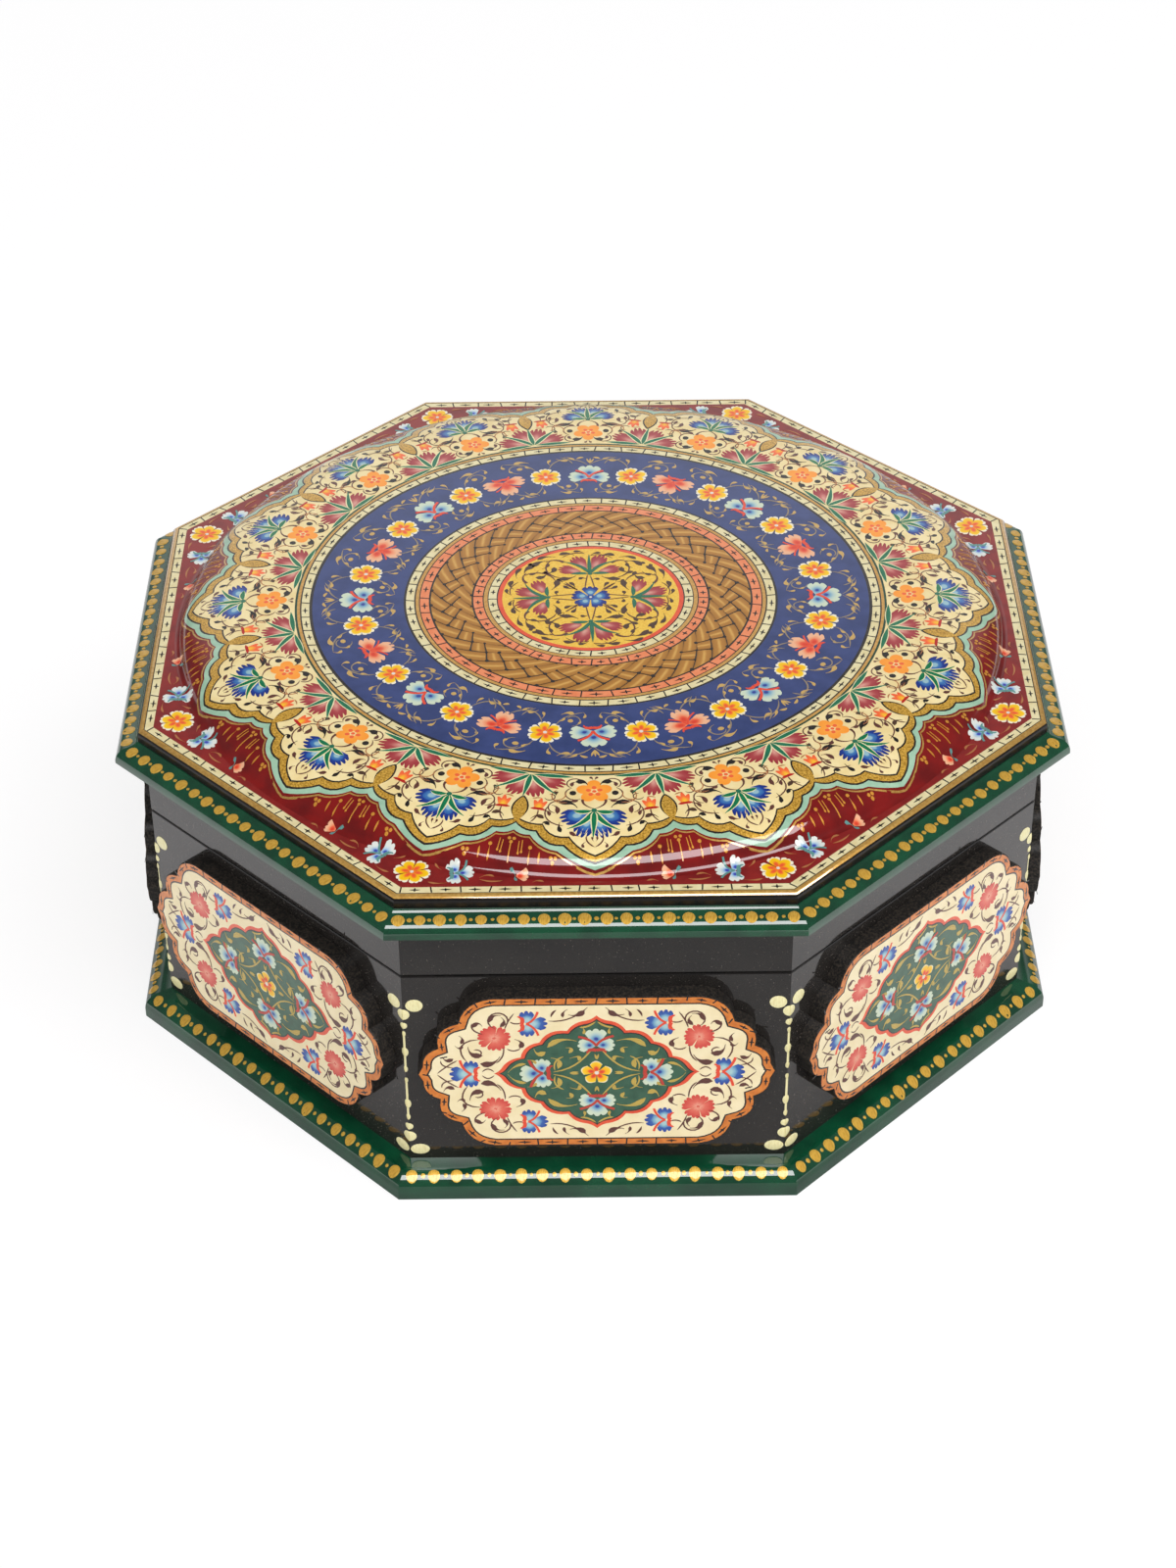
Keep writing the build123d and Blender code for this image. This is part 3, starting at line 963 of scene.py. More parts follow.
def sheetsInside(outline, insets):
    # cuts an outline into nested sheets, each as wide as its inset, and what is left is the last one
    bm = bmesh.new()
    face = bm.faces.new([bm.verts.new((x, y, 0)) for x, y in outline])
    rings = []
    for width in insets:
        bm.normal_update()
        rim = bmesh.ops.inset_region(
            bm, faces=[face], thickness=width, use_even_offset=True, use_boundary=True
        )
        rings.append([[v.co.xy.copy() for v in f.verts] for f in rim["faces"]])
    rings.append([[v.co.xy.copy() for v in face.verts]])
    bm.free()
    return rings


def laidSheet(surface, polygons, lift, thick=0.04):
    bm = bmesh.new()
    for corners in polygons:
        bm.faces.new([bm.verts.new(surface(p.x, p.y, lift)) for p in corners])
    bmesh.ops.remove_doubles(bm, verts=bm.verts, dist=1e-3)
    thicken(bm, (surface(0, 0, 0) - surface(0, 0, 1)) * thick)
    return bm


def buildPlaques():
    outline = plaqueOutline()
    _, border, line, field = sheetsInside(outline, plaqueShape["sheets"])
    medallion = wholeOutline(medallionShape["points"], medallionShape["bows"])
    shrunk = [[[Vector((x * sx, y * sy)) for x, y in medallion]] for sx, sy in medallionShape["nested"]]
    layers = {
        "plaqueBorder": ("orangeBorder", border, 0.02),
        "plaqueLine": ("ink", line, 0.025),
        "plaqueField": ("plaqueCream", field, 0.03),
        "medallionOutline": ("vermilion", shrunk[0], 0.045),
        "medallionLine": ("ink", shrunk[1], 0.06),
        "medallionGround": ("medallionGreen", shrunk[2], 0.075),
    }
    painted = {name: bmesh.new() for name in layers}
    for side, angle in sideAngles.items():
        surface = onSide(angle, plaqueProfile)
        deep = onSide(angle, lambda y, lift: (wallOut + lift, plaqueMiddle + y))
        bm = bmesh.new()
        face = bm.faces.new([bm.verts.new(deep(x, y, 0)) for x, y in outline])
        front = bmesh.ops.extrude_face_region(bm, geom=[face], use_keep_orig=True)["geom"]
        moved = [v for v in front if isinstance(v, bmesh.types.BMVert)]
        bmesh.ops.translate(bm, verts=moved, vec=surface(0, 0, 0) - deep(0, 0, 0))
        bmesh.ops.recalc_face_normals(bm, faces=bm.faces)
        rimEdges = [e for e in bm.edges if all(v in moved for v in e.verts)]
        bmesh.ops.bevel(
            bm,
            geom=rimEdges,
            offset=plaqueShape["edge"],
            segments=2,
            profile=0.5,
            affect="EDGES",
            material=-1,
            clamp_overlap=True,
        )
        addPiece(f"plaqueBlock_{side}", bm, "body", "plaqueSide", [f"plaque_{side}"], 20)
        for name, (paint, polygons, lift) in layers.items():
            mergeInto(painted[name], laidSheet(surface, polygons, lift))
    for name, (paint, _, _) in layers.items():
        addPiece(name, painted[name], "body", paint)


buildPlaques()
print("plaques set")

# how each motif is painted; x runs aside and y along its axis, in millimetres


def arc(cx, cy, radius, start, sweep, shrink=0.0):
    # a bow or a spiral, as a point for each t from 0 to 1
    def point(t):
        angle = math.radians(start + sweep * t)
        r = radius * (1 - shrink * t)
        return cx + r * math.cos(angle), cy + r * math.sin(angle)

    return point


def paintIris(brush, petal, shape, stem="stemRed"):
    # three lobed petals, two curved stems in the gaps between them and a curled bar behind
    length, spread = shape["middle"]
    brush.petal(petal, length, spread, shape["cuts"], notch=shape["notch"], crown=0.2, base=0.14)
    bar = shape["bar"]
    x, y = shape["stemEnd"]
    for flip in (1, -1):
        turned = brush.at(0, 0, -shape["turn"] * flip, 1, flip)
        length, spread = shape["side"]
        turned.petal(petal, length, spread, shape["cuts"], notch=shape["notch"], crown=0.2, base=0.14)
        wide = shape["stemWide"]
        brush.stroke(stem, [(0, -0.3), (flip * x * 0.25, y * 0.72), (flip * x, y)], wide, "bar", 7, 3)
        brush.stroke(stem, [(0, -bar), (flip * 1.2, -bar + 0.6), (flip * 2.0, -bar)], 1.0, "bar", 5, 3)
        curl = [(flip * 1.7, -bar), (flip * 2.3, -bar - 0.1), (flip * 2.4, -bar - 1.0)]
        brush.stroke(stem, curl, 0.55, "line", 4, 3)


def paintRosette(brush, petal, count, length, width, scallops=2, notch=0.16, crown=0.2, gap=0.3, base=0.2):
    for k in range(count):
        turned = brush.loose(0, 0, 360 * k / count)
        turned.at(0, gap).petal(petal, length - gap, width, scallops, notch, crown, base, fan=0.85)


def paintPalmette(brush, petal, leaf, sizes, halo=True):
    # a fan of four fingered petals parted by three long leaves, over two short ones
    for flip in (1, -1):
        for length, width, turn, fingers in sizes["petals"]:
            start = sizes["start"]
            turned = brush.loose(0, 0.3, -turn * flip, 1, flip).at(0, start)
            turned.petal(petal, length - start, width, fingers, sizes["cut"], crown=0.24, fan=0.8)
        tip = sizes["sideLeaf"]
        bend = (flip * tip[0] * sizes["bend"][0], tip[1] * sizes["bend"][1])
        side = [(flip * 0.3, 0.3), bend, (flip * tip[0], tip[1])]
        short = sizes["shortLeaf"]
        lateral = [(flip * 0.6, 0.1), (flip * short[0] * 0.5, short[1] + 0.5), (flip * short[0], short[1])]
        if halo:
            brush.stroke("leafEdge", side, sizes["leafWide"] + 0.7, "blade", 8, 2)
            brush.stroke("leafEdge", lateral, sizes["leafWide"] + 0.6, "leaf", 6, 2)
        brush.stroke(leaf, side, sizes["leafWide"], "blade", 8, 3)
        brush.stroke(leaf, lateral, sizes["leafWide"] * 1.05, "leaf", 6, 3)
    middle = [(0, 0.2), (0.15, sizes["middleLeaf"] / 2), (0, sizes["middleLeaf"])]
    if halo:
        brush.stroke("leafEdge", middle, sizes["leafWide"] + 0.7, "blade", 6, 4)
    brush.stroke(leaf, middle, sizes["leafWide"], "blade", 6, 5)


cellMarks = {
    # how wide the strokes are, how far they lean or shift, and their reach as a share of the cell
    "tick": 0.38,
    "plus": 0.46,
    "lean": 0.25,
    "shift": 0.35,
    "bow": 0.12,
    "tall": (0.62, 0.82),
    "wide": (0.18, 0.25),
}


def paintCells(brushFor, count, pitch, half):
    # a dividing tick and a plus for each cell of an inked band
    for k in range(count):
        brush = brushFor(k)
        lean = random.uniform(-cellMarks["lean"], cellMarks["lean"])
        tick = [(-pitch / 2 - lean, -half), (-pitch / 2 + lean, half)]
        brush.stroke("inkMark", tick, cellMarks["tick"], "bar", 1, 1)
        x = random.uniform(-cellMarks["shift"], cellMarks["shift"])
        tall = half * random.uniform(*cellMarks["tall"])
        wide = pitch * random.uniform(*cellMarks["wide"])
        upright = [(x, -tall), (x + lean * 0.4, tall)]
        brush.stroke("inkMark", upright, cellMarks["plus"], "line", 3, 1)
        bar = [(x - wide, 0), (x, random.uniform(-cellMarks["bow"], cellMarks["bow"])), (x + wide, 0)]
        brush.stroke("inkMark", bar, cellMarks["plus"], "leaf", 4, 2)


def paintSprigs(brush, paint, sprigs, steps=7):
    # each sprig is a kind of stroke, its width and the points that its curve follows
    for kind, width, points in sprigs:
        brush.stroke(paint, points, width, kind, steps)


lidFace = Brush("lid", lambda x, y, lift: onLid(x, y, paintTop + lift))
cellRings = [
    # radius, number of cells and half the band's width
    (26.7, 28, 1.1),
    (30.65, 36, 1.25),
    (45.2, 37, 1.2),
    (49.1, 42, 1.1),
    (77.45, 70, 1.05),
]


def paintRingCells():
    for middle, count, half in cellRings:
        start = random.uniform(0, 360 / count)
        pitch = math.tau * middle / count

        def brushFor(k):
            drift = random.uniform(-0.5, 0.5)
            angle = start + 360 * k / count + math.degrees(drift / middle)
            bent = lidFace.around(angle, middle)
            return bent.at(0, middle)

        paintCells(brushFor, count, pitch, half)


braidRing = {"middle": 37.95, "half": 5.72, "units": 38, "gap": 0.17}
braidStrands = {
    # each strand of one unit, in units of pitch and half height: near edge, then far edge
    "upper": [(0.24, -0.99), (1.24, -0.99), (0.0, 0.0), (-0.59, -0.40)],
    "middle": [(0.0, 0.0), (0.41, -0.40), (1.0, 0.0), (0.45, 0.46)],
    "lower": [(-0.06, 0.98), (0.94, 0.98), (1.45, 0.5), (1.0, 0.0)],
}
braidHoles = [(0, 0), (0.41, -0.4), (0.45, 0.46), (0.24, -0.96), (-0.06, 0.96)]


def paintBraid():
    middle, half, units = braidRing["middle"], braidRing["half"], braidRing["units"]
    pitch = math.tau * middle / units
    for k in range(units):
        brush = lidFace.around(frontAngle + 360 * k / units, middle).at(0, middle)
        for corners in braidStrands.values():
            spots = [(x * pitch, y * half) for x, y in corners]
            brush.patch("braid", spots, braidRing["gap"])
        for x, y in braidHoles:
            size = random.uniform(0.42, 0.6)
            brush.dot("inkMark", x * pitch, y * half, size, random.uniform(0.8, 1.2), 2, 7)


discPalmette = {
    "petals": [(10.0, 4.6, 24, 4), (9.0, 4.2, 71, 4)],
    "start": 2.6,
    "cut": 0.22,
    "middleLeaf": 9.8,
    "sideLeaf": (7.3, 6.3),
    "shortLeaf": (5.4, 0.1),
    "leafWide": 1.15,
    "bend": (0.22, 0.72),
}
discSprigs = {
    "scrollBrown": [
        ("line", 0.36, [(1.3, 4.4), (0.9, 7.4), (0.25, 10.9)]),
        ("line", 0.4, [(3.2, 3.6), (5.2, 5.4), (6.9, 6.9)]),
        ("line", 0.42, [(7.6, 9.6), (11.6, 11.0), (12.6, 15.0), (9.8, 18.6)]),
        ("line", 0.32, [(0.5, 21.2), (4.0, 22.6), (6.8, 19.6)]),
        ("taper", 0.9, [(6.4, 17.3), (8.6, 19.4), (11.2, 17.6)]),
    ],
    "scrollDark": [
        ("comma", 1.2, [(0.7, 8.7), (1.9, 9.9), (2.7, 8.7)]),
        ("comma", 1.9, [(3.4, 10.5), (5.6, 8.5), (7.9, 9.5)]),
        ("comma", 1.2, [(4.0, 4.4), (3.9, 6.4), (5.4, 7.4)]),
        ("comma", 1.7, [(11.4, 12.2), (8.7, 12.4), (9.2, 15.0)]),
        ("comma", 1.2, [(12.4, 14.4), (10.4, 15.2), (10.9, 17.0)]),
        ("comma", 1.8, [(10.6, 18.1), (13.6, 18.4), (14.9, 15.4)]),
        ("comma", 1.3, [(8.6, 20.0), (11.8, 21.0), (13.5, 18.9)]),
        ("comma", 1.5, [(3.4, 20.6), (5.2, 22.6), (7.5, 21.0)]),
        ("comma", 1.1, [(0.7, 21.4), (1.9, 23.0), (3.6, 22.4)]),
        ("comma", 1.3, [(9.4, 10.6), (10.6, 12.2), (12.4, 12.6)]),
        ("comma", 1.2, [(14.0, 15.8), (14.6, 17.4), (16.0, 16.5)]),
        ("comma", 1.0, [(7.4, 7.4), (7.2, 8.8), (8.6, 9.2)]),
    ],
}


def paintDisc():
    paintRosette(lidFace, "bluePalmette", 5, 5.3, 4.6, 3, notch=0.16, crown=0.16, gap=0.3, base=0.06)
    lidFace.dot("spotBlue", 0, 0, 1.3, 1, 0, 10)
    lidFace.dot("spotPale", 0, 0, 0.4, 1, 3, 8)
    for quarter in range(4):
        brush = lidFace.facing(frontAngle + 90 * quarter)
        flower = brush.loose(0, 11.5)
        paintPalmette(flower, "maroonPalmette", "leafDark", discPalmette, halo=False)
        flower.dot("leafDark", 0, 0, 0.65, 1, 4, 8)
        for flip in (1, -1):
            half = brush.loose(0, 0, 0, 1, flip)
            for paint, sprigs in discSprigs.items():
                paintSprigs(half, paint, sprigs)


navyRing = {"middle": 63.2, "iris": 61.7, "coral": 63.5, "sun": 63.0}
navyIris = {
    "middle": (6.5, 6.5),
    "side": (6.2, 5.5),
    "turn": 88,
    "cuts": 3,
    "notch": 0.15,
    "stemEnd": (3.9, 3.6),
    "stemWide": 0.75,
    "bar": 1.9,
}
coralIris = dict(navyIris, middle=(6.8, 5.5), side=(6.3, 4.8), notch=0.2, stemEnd=(3.9, 3.5), stemWide=0.5)
sunFlower = {
    "count": 6,
    "length": 4.75,
    "width": 3.7,
    "scallops": 3,
    "notch": 0.1,
    "crown": 0.14,
    "gap": 0.45,
    "base": 0.16,
}
navySprigs = [
    # leaves of the vine, the height measured from the ring's middle towards the edge it swings to
    ("comma", 1.0, [(4.2, 9.3), (5.6, 7.2), (7.2, 8.2)]),
    ("comma", 0.9, [(2.2, 6.0), (1.4, 7.8), (2.8, 8.8)]),
    ("comma", 0.8, [(6.2, 9.8), (8.0, 9.6), (8.8, 8.0)]),
    ("leaf", 0.8, [(9.4, 8.6), (10.4, 9.6), (11.2, 9.3)]),
    ("comma", 1.4, [(3.0, -8.4), (4.8, -10.2), (6.8, -9.0)]),
    ("comma", 0.9, [(9.6, -9.8), (10.8, -8.4), (9.6, -7.4)]),
    ("comma", 0.8, [(2.6, -5.4), (4.2, -5.8), (4.1, -7.2)]),
    ("comma", 0.8, [(8.6, -7.0), (9.4, -5.4), (8.2, -4.9)]),
]


def paintNavyRing():
    middle = navyRing["middle"]
    for angle in sideAngles.values():
        outward = lidFace.around(angle, middle)
        iris = outward.loose(0, navyRing["iris"])
        paintIris(iris, "blueIris", navyIris)
        for turn in (-24, 0, 24):
            iris.at(0, 7.6, turn).stroke("scrollGold", [(0, 0), (0, 1.4), (turn * 0.01, 2.8)], 0.5, "leaf", 4)
        inward = lidFace.around(angle + cornerTurn, middle)
        coral = inward.loose(0, navyRing["coral"], 180)
        paintIris(coral, "coralIris", coralIris)
    for k in range(2 * len(sides)):
        brush = lidFace.around(frontAngle + cornerTurn * (k + 0.5), middle)
        flower = brush.loose(0, navyRing["sun"], random.uniform(0, 60))
        flower.dot("scrollDark", 0, 0, 0.7, 1, 0, 8)
        paintRosette(flower, "sunPetal", **sunFlower)
        flower.dot("spotPale", 0, 0, 0.55, 1, 3, 8)
        # vines swing to one edge of the ring, then the other
        swing = 1 if k % 2 else -1
        for flip in (1, -1):
            half = brush.at(0, middle, 0, 1, flip)
            up = swing * flip
            vine = [(1.6, 3.6 * up), (3.2, 9.6 * up), (8.6, 10.4 * up), (12.2, 5.2 * up)]
            half.stroke("vineGold", vine, 0.42, "line", 12)
            half.stroke("vineGold", [(5.2, 9.9 * up), (7.6, 8.6 * up), (8.2, 6.0 * up)], 0.36, "line", 6)
            half.stroke("vineGold", arc(6.6, -6.2 * up, 2.5, 90 * up, -250 * up, 0.35), 0.34, "line", 12)
            half.stroke("vineGold", [(2.2, -3.8 * up), (3.6, -8.6 * up), (9.6, -9.8 * up)], 0.4, "line", 8)
            half.dot("scrollGold", 6.0, -6.0 * up, 0.8, 0.9)
            for kind, width, points in navySprigs:
                half.stroke("scrollGold", [(x, y * up) for x, y in points], width, kind, 7)


bluePalmette = {
    "petals": [(9.4, 5.0, 20, 4), (8.5, 5.3, 70, 4)],
    "start": 1.2,
    "cut": 0.24,
    "middleLeaf": 9.0,
    "sideLeaf": (6.4, 6.4),
    "shortLeaf": (5.0, 0.3),
    "leafWide": 1.2,
    "bend": (0.2, 0.66),
}
maroonPalmette = {
    "petals": [(9.2, 5.0, 21, 4), (10.0, 4.9, 70, 4)],
    "start": 1.6,
    "cut": 0.24,
    "middleLeaf": 9.2,
    "sideLeaf": (7.6, 6.8),
    "shortLeaf": (10.4, -0.7),
    "leafWide": 1.2,
    "bend": (0.4, 0.55),
}
lobeSprigs = {
    "inkMark": [
        ("comma", 1.9, [(1.6, 84.2), (2.0, 82.4), (4.6, 82.9)]),
        ("comma", 1.9, [(4.2, 93.4), (5.4, 90.6), (8.9, 91.3)]),
        ("comma", 1.2, [(8.6, 98.4), (9.2, 100.2), (8.3, 101.7)]),
        ("comma", 1.2, [(13.2, 99.2), (12.4, 97.4), (11.2, 99.3)]),
    ],
    "scrollBrown": [
        ("taper", 0.75, [(2.9, 90.2), (3.2, 92.6), (0, 93.8)]),
        ("comma", 1.1, [(6.6, 90.4), (5.4, 91.2), (4.0, 90.4)]),
        ("comma", 1.1, [(4.2, 83.0), (5.8, 82.8), (5.5, 84.8)]),
        ("comma", 0.8, [(0.2, 82.3), (0.4, 81.2), (1.1, 81.0)]),
        ("comma", 1.3, [(10.6, 92.2), (8.6, 92.6), (9.3, 95.5)]),
        ("line", 0.36, [(11.4, 92.4), (13.4, 95.6), (12.0, 99.0), (7.8, 99.7)]),
        ("comma", 1.0, [(12.8, 94.2), (11.0, 94.2), (11.2, 96.2)]),
        ("comma", 1.1, [(3.8, 103.1), (5.0, 102.9), (6.2, 101.6)]),
        ("leaf", 0.6, [(5.8, 101.6), (4.4, 103.6), (6.0, 102.2)]),
        ("line", 0.36, [(2.0, 102.9), (2.6, 104.8), (0.1, 106.2)]),
        ("comma", 0.8, [(2.3, 104.8), (3.6, 105.6), (2.6, 106.3)]),
        ("comma", 0.6, [(0.3, 104.6), (0.8, 104.0), (0.5, 103.2)]),
    ],
}


def paintLobe(angle):
    brush = lidFace.facing(angle)
    flower = brush.loose(0, 86.9, 180)
    for k in range(5):
        petal = flower.at(0, 0, 72 * k)
        petal.dot("orangePetal", 0, 2.62, 1.74, 1.08, 1, 14)
        petal.dot("spotCoral", 0, 1.5, 0.6, 1.1, 2, 8)
    flower.dot("spotCoral", 0, 0, 0.55, 1, 2, 8)
    palmette = brush.loose(0, 94.35)
    paintPalmette(palmette, "bluePalmette", "leafGreen", bluePalmette)
    palmette.dot("leafDark", 0, 0, 0.72, 1, 5, 8)
    for flip in (1, -1):
        half = brush.at(0, 0, 0, 1, flip)
        half.dot("inkMark", 5.3, 87.5, 0.88, 1.05, 2, 10)
        half.stroke("scrollBrown", arc(4.6, 87.9, 2.7, -70, 190, 0.12), 0.34, "line", 9)
        half.stroke("scrollBrown", arc(4.9, 83.8, 2.4, -150, 210, 0.3), 0.34, "line", 9)
        half.stroke("scrollBrown", arc(9.2, 93.3, 3.0, 200, 230, 0.35), 0.34, "line", 10)
        half.stroke("scrollRust", arc(7.6, 88.8, 3.2, -60, 170, 0.2), 0.28, "line", 9)
        half.stroke("scrollRust", arc(9.4, 88.2, 2.4, -150, -160, 0.2), 0.28, "line", 9)
        for paint, sprigs in lobeSprigs.items():
            paintSprigs(half, paint, sprigs)


def paintValley(angle):
    brush = lidFace.facing(angle)
    palmette = brush.loose(0, 80.9)
    paintPalmette(palmette, "maroonPalmette", "leafMoss", maroonPalmette)
    brush.stroke("inkMark", [(0, 98.9), (0, 95.0), (0, 89.9)], 4.3, "leaf", 12, 1)
    brush.stroke("goldBand", [(0, 99.5), (0, 95.0), (0, 90.6)], 3.5, "leaf", 12, 2)
    for flip in (1, -1):
        half = brush.at(0, 0, 0, 1, flip)
        bud = half.loose(4.5, 94.2, 180)
        for turn in (-30, 30, 0):
            length = 3.9 if turn == 0 else 3.3
            layer = 2 if turn == 0 else 1
            petal = bud.at(0, 0.1, turn)
            petal.petal("tulipPetal", length, 1.9, 0, notch=0, crown=0.9, base=0.3, layer=layer)
        bud.stroke("bloodRed", [(-1.9, -0.4), (0, -0.1), (1.9, -0.4)], 0.8, "line", 5, 3)
        half.stroke("scrollBrown", [(4.6, 94.6), (5.2, 97.4), (3.4, 99.4)], 0.34, "line", 6)
        half.stroke("scrollDark", [(3.4, 98.2), (4.6, 96.0), (6.6, 97.6)], 1.3, "comma", 7)
        half.stroke("scrollBrown", arc(6.6, 89.3, 1.5, 150, -260, 0.3), 0.3, "line", 8)
        curl = half.loose(7.8, 88.6, -170)
        curl.stroke("scrollDark", [(0, 0), (0.16, 0.96), (0.8, 1.6)], 1.54, "comma", 6)
        half.stroke("scrollRust", [(2.4, 90.8), (3.4, 90.0), (4.6, 90.2)], 0.4, "leaf", 5)


slopeFace = Brush("lid", lambda x, y, lift: onLid(x, y, brushLifts["slope"] + lift))


def paintSlope(angle):
    # gold drops and threads hanging down the red slope between two lobes
    brush = slopeFace.facing(angle)
    for x, y in ((-0.6, 104.8), (0.6, 104.8), (0, 105.8)):
        brush.dot("slopeGold", x, y, 0.46, 1, 2, 8, 0.05)
    brush.stroke("slopeGold", [(0, 106.2), (0, 108.4), (0, 110.6)], 0.3, "bar", 4)
    for flip in (1, -1):
        half = brush.at(0, 0, 0, 1, flip)
        for x, start, end in ((2.0, 105.4, 108.6), (2.8, 105.0, 108.2)):
            half.stroke("slopeGold", [(x, start), (x + 0.2, end)], 0.24, "bar", 3)
            half.stroke("slopeGold", [(x + 0.16, end - 1.0), (x + 0.25, end + 0.3)], 0.6, "comma", 4)
        half.dot("slopeGold", 5.0, 106.8, 0.5, 1, 2, 8, 0.05)
        half.stroke("slopeGold", [(5.0, 107.2), (5.1, 110.6)], 0.5, "comma", 5)
        half.stroke("slopeGold", [(7.5, 107.6), (7.6, 110.2)], 0.5, "leaf", 5)
        for x, y in ((10.5, 108.6), (11.6, 108.5), (11.05, 109.5)):
            half.dot("slopeGold", x, y, 0.48, 1, 2, 8, 0.05)


plateIris = {
    "middle": (4.6, 4.1),
    "side": (4.2, 3.9),
    "turn": 106,
    "cuts": 3,
    "notch": 0.15,
    "stemEnd": (3.0, 2.8),
    "stemWide": 0.55,
    "bar": 1.4,
}
plateBorder = {"out": 115.85, "pitch": 7.36, "count": 13, "half": 1.05, "drift": 0.4}
# the corner flower's distance out, then place and turn of the two flowers of each half side
plateFlowers = {"corner": 117.8, "iris": (34.0, 109.5, 92), "bud": (19.4, 110.9, 80)}
plateSprigs = [
    ("leaf", 0.5, [(22.8, 112.6), (25.6, 113.4), (28.4, 112.0)]),
    ("comma", 0.7, [(28.4, 111.4), (26.4, 109.6), (24.8, 111.0)]),
    ("comma", 0.6, [(37.8, 108.2), (39.0, 107.2), (39.4, 105.6)]),
    ("comma", 0.6, [(36.4, 113.2), (39.0, 113.8), (41.0, 112.8)]),
    ("comma", 0.6, [(15.4, 113.4), (14.2, 112.2), (12.6, 113.2)]),
]


def paintPlate():
    plate = Brush("lid", lambda x, y, lift: onLid(x, y, brushLifts["plate"] + lift))
    border = Brush("lid", lambda x, y, lift: Vector((x, y, boardTop + brushLifts["border"] + lift)))
    count, pitch, drift = plateBorder["count"], plateBorder["pitch"], plateBorder["drift"]
    for angle in sideAngles.values():
        side = plate.facing(angle)
        edge = border.facing(angle)

        def brushFor(k):
            x = (k - (count - 1) / 2) * pitch + random.uniform(-drift, drift)
            return edge.at(x, plateBorder["out"])

        paintCells(brushFor, count, pitch, plateBorder["half"])
        corner = plate.facing(angle + cornerTurn).loose(0, plateFlowers["corner"], random.uniform(0, 60))
        paintRosette(corner, "sunPetal", **sunFlower)
        corner.dot("spotPale", 0, 0, 0.5, 1, 3, 8)
        for flip in (1, -1):
            half = side.at(0, 0, 0, 1, flip)
            iris = half.loose(*plateFlowers["iris"])
            paintIris(iris, "plateIris", plateIris, "aquaLeaf")
            bud = half.loose(*plateFlowers["bud"])
            bud.petal("coralIris", 3.1, 3.3, 3, notch=0.14, crown=0.2)
            for turn in (150, -60):
                leaf = bud.at(0, -0.3, turn)
                leaf.stroke("aquaLeaf", [(0, 0), (0.6, 0.9), (0.2, 2.0)], 0.8, "comma", 5)
            paintSprigs(half, "scrollRust", plateSprigs, 6)


paintRingCells()
paintBraid()
paintDisc()
paintNavyRing()
for lobe in range(lobes):
    paintLobe(frontAngle + lobeTurn * lobe)
    paintValley(frontAngle + lobeTurn * (lobe + 0.5))
    paintSlope(frontAngle + lobeTurn * (lobe + 0.5))
paintPlate()
print("lid painted")


borderCells = {"inset": 1.2, "count": 32, "half": 0.92}


def paintBorderCells(brush, outline):
    # walks once round an outline and paints a cell at each equal step
    inset, count = borderCells["inset"], borderCells["count"]
    spots = [Vector(p) for p in outline]
    lengths = [(b - a).length for a, b in zip(spots, spots[1:] + spots[:1])]
    total = sum(lengths)

    def brushFor(k):
        left = total * ((k + 0.5) / count % 1)
        for a, b, length in zip(spots, spots[1:] + spots[:1], lengths):
            if left <= length:
                break
            left -= length
        along = (b - a).normalized()
        here = a + along * left + Vector((along.y, -along.x)) * inset
        return brush.at(here.x, here.y, math.degrees(math.atan2(along.y, along.x)))

    paintCells(brushFor, count, total / count, borderCells["half"])


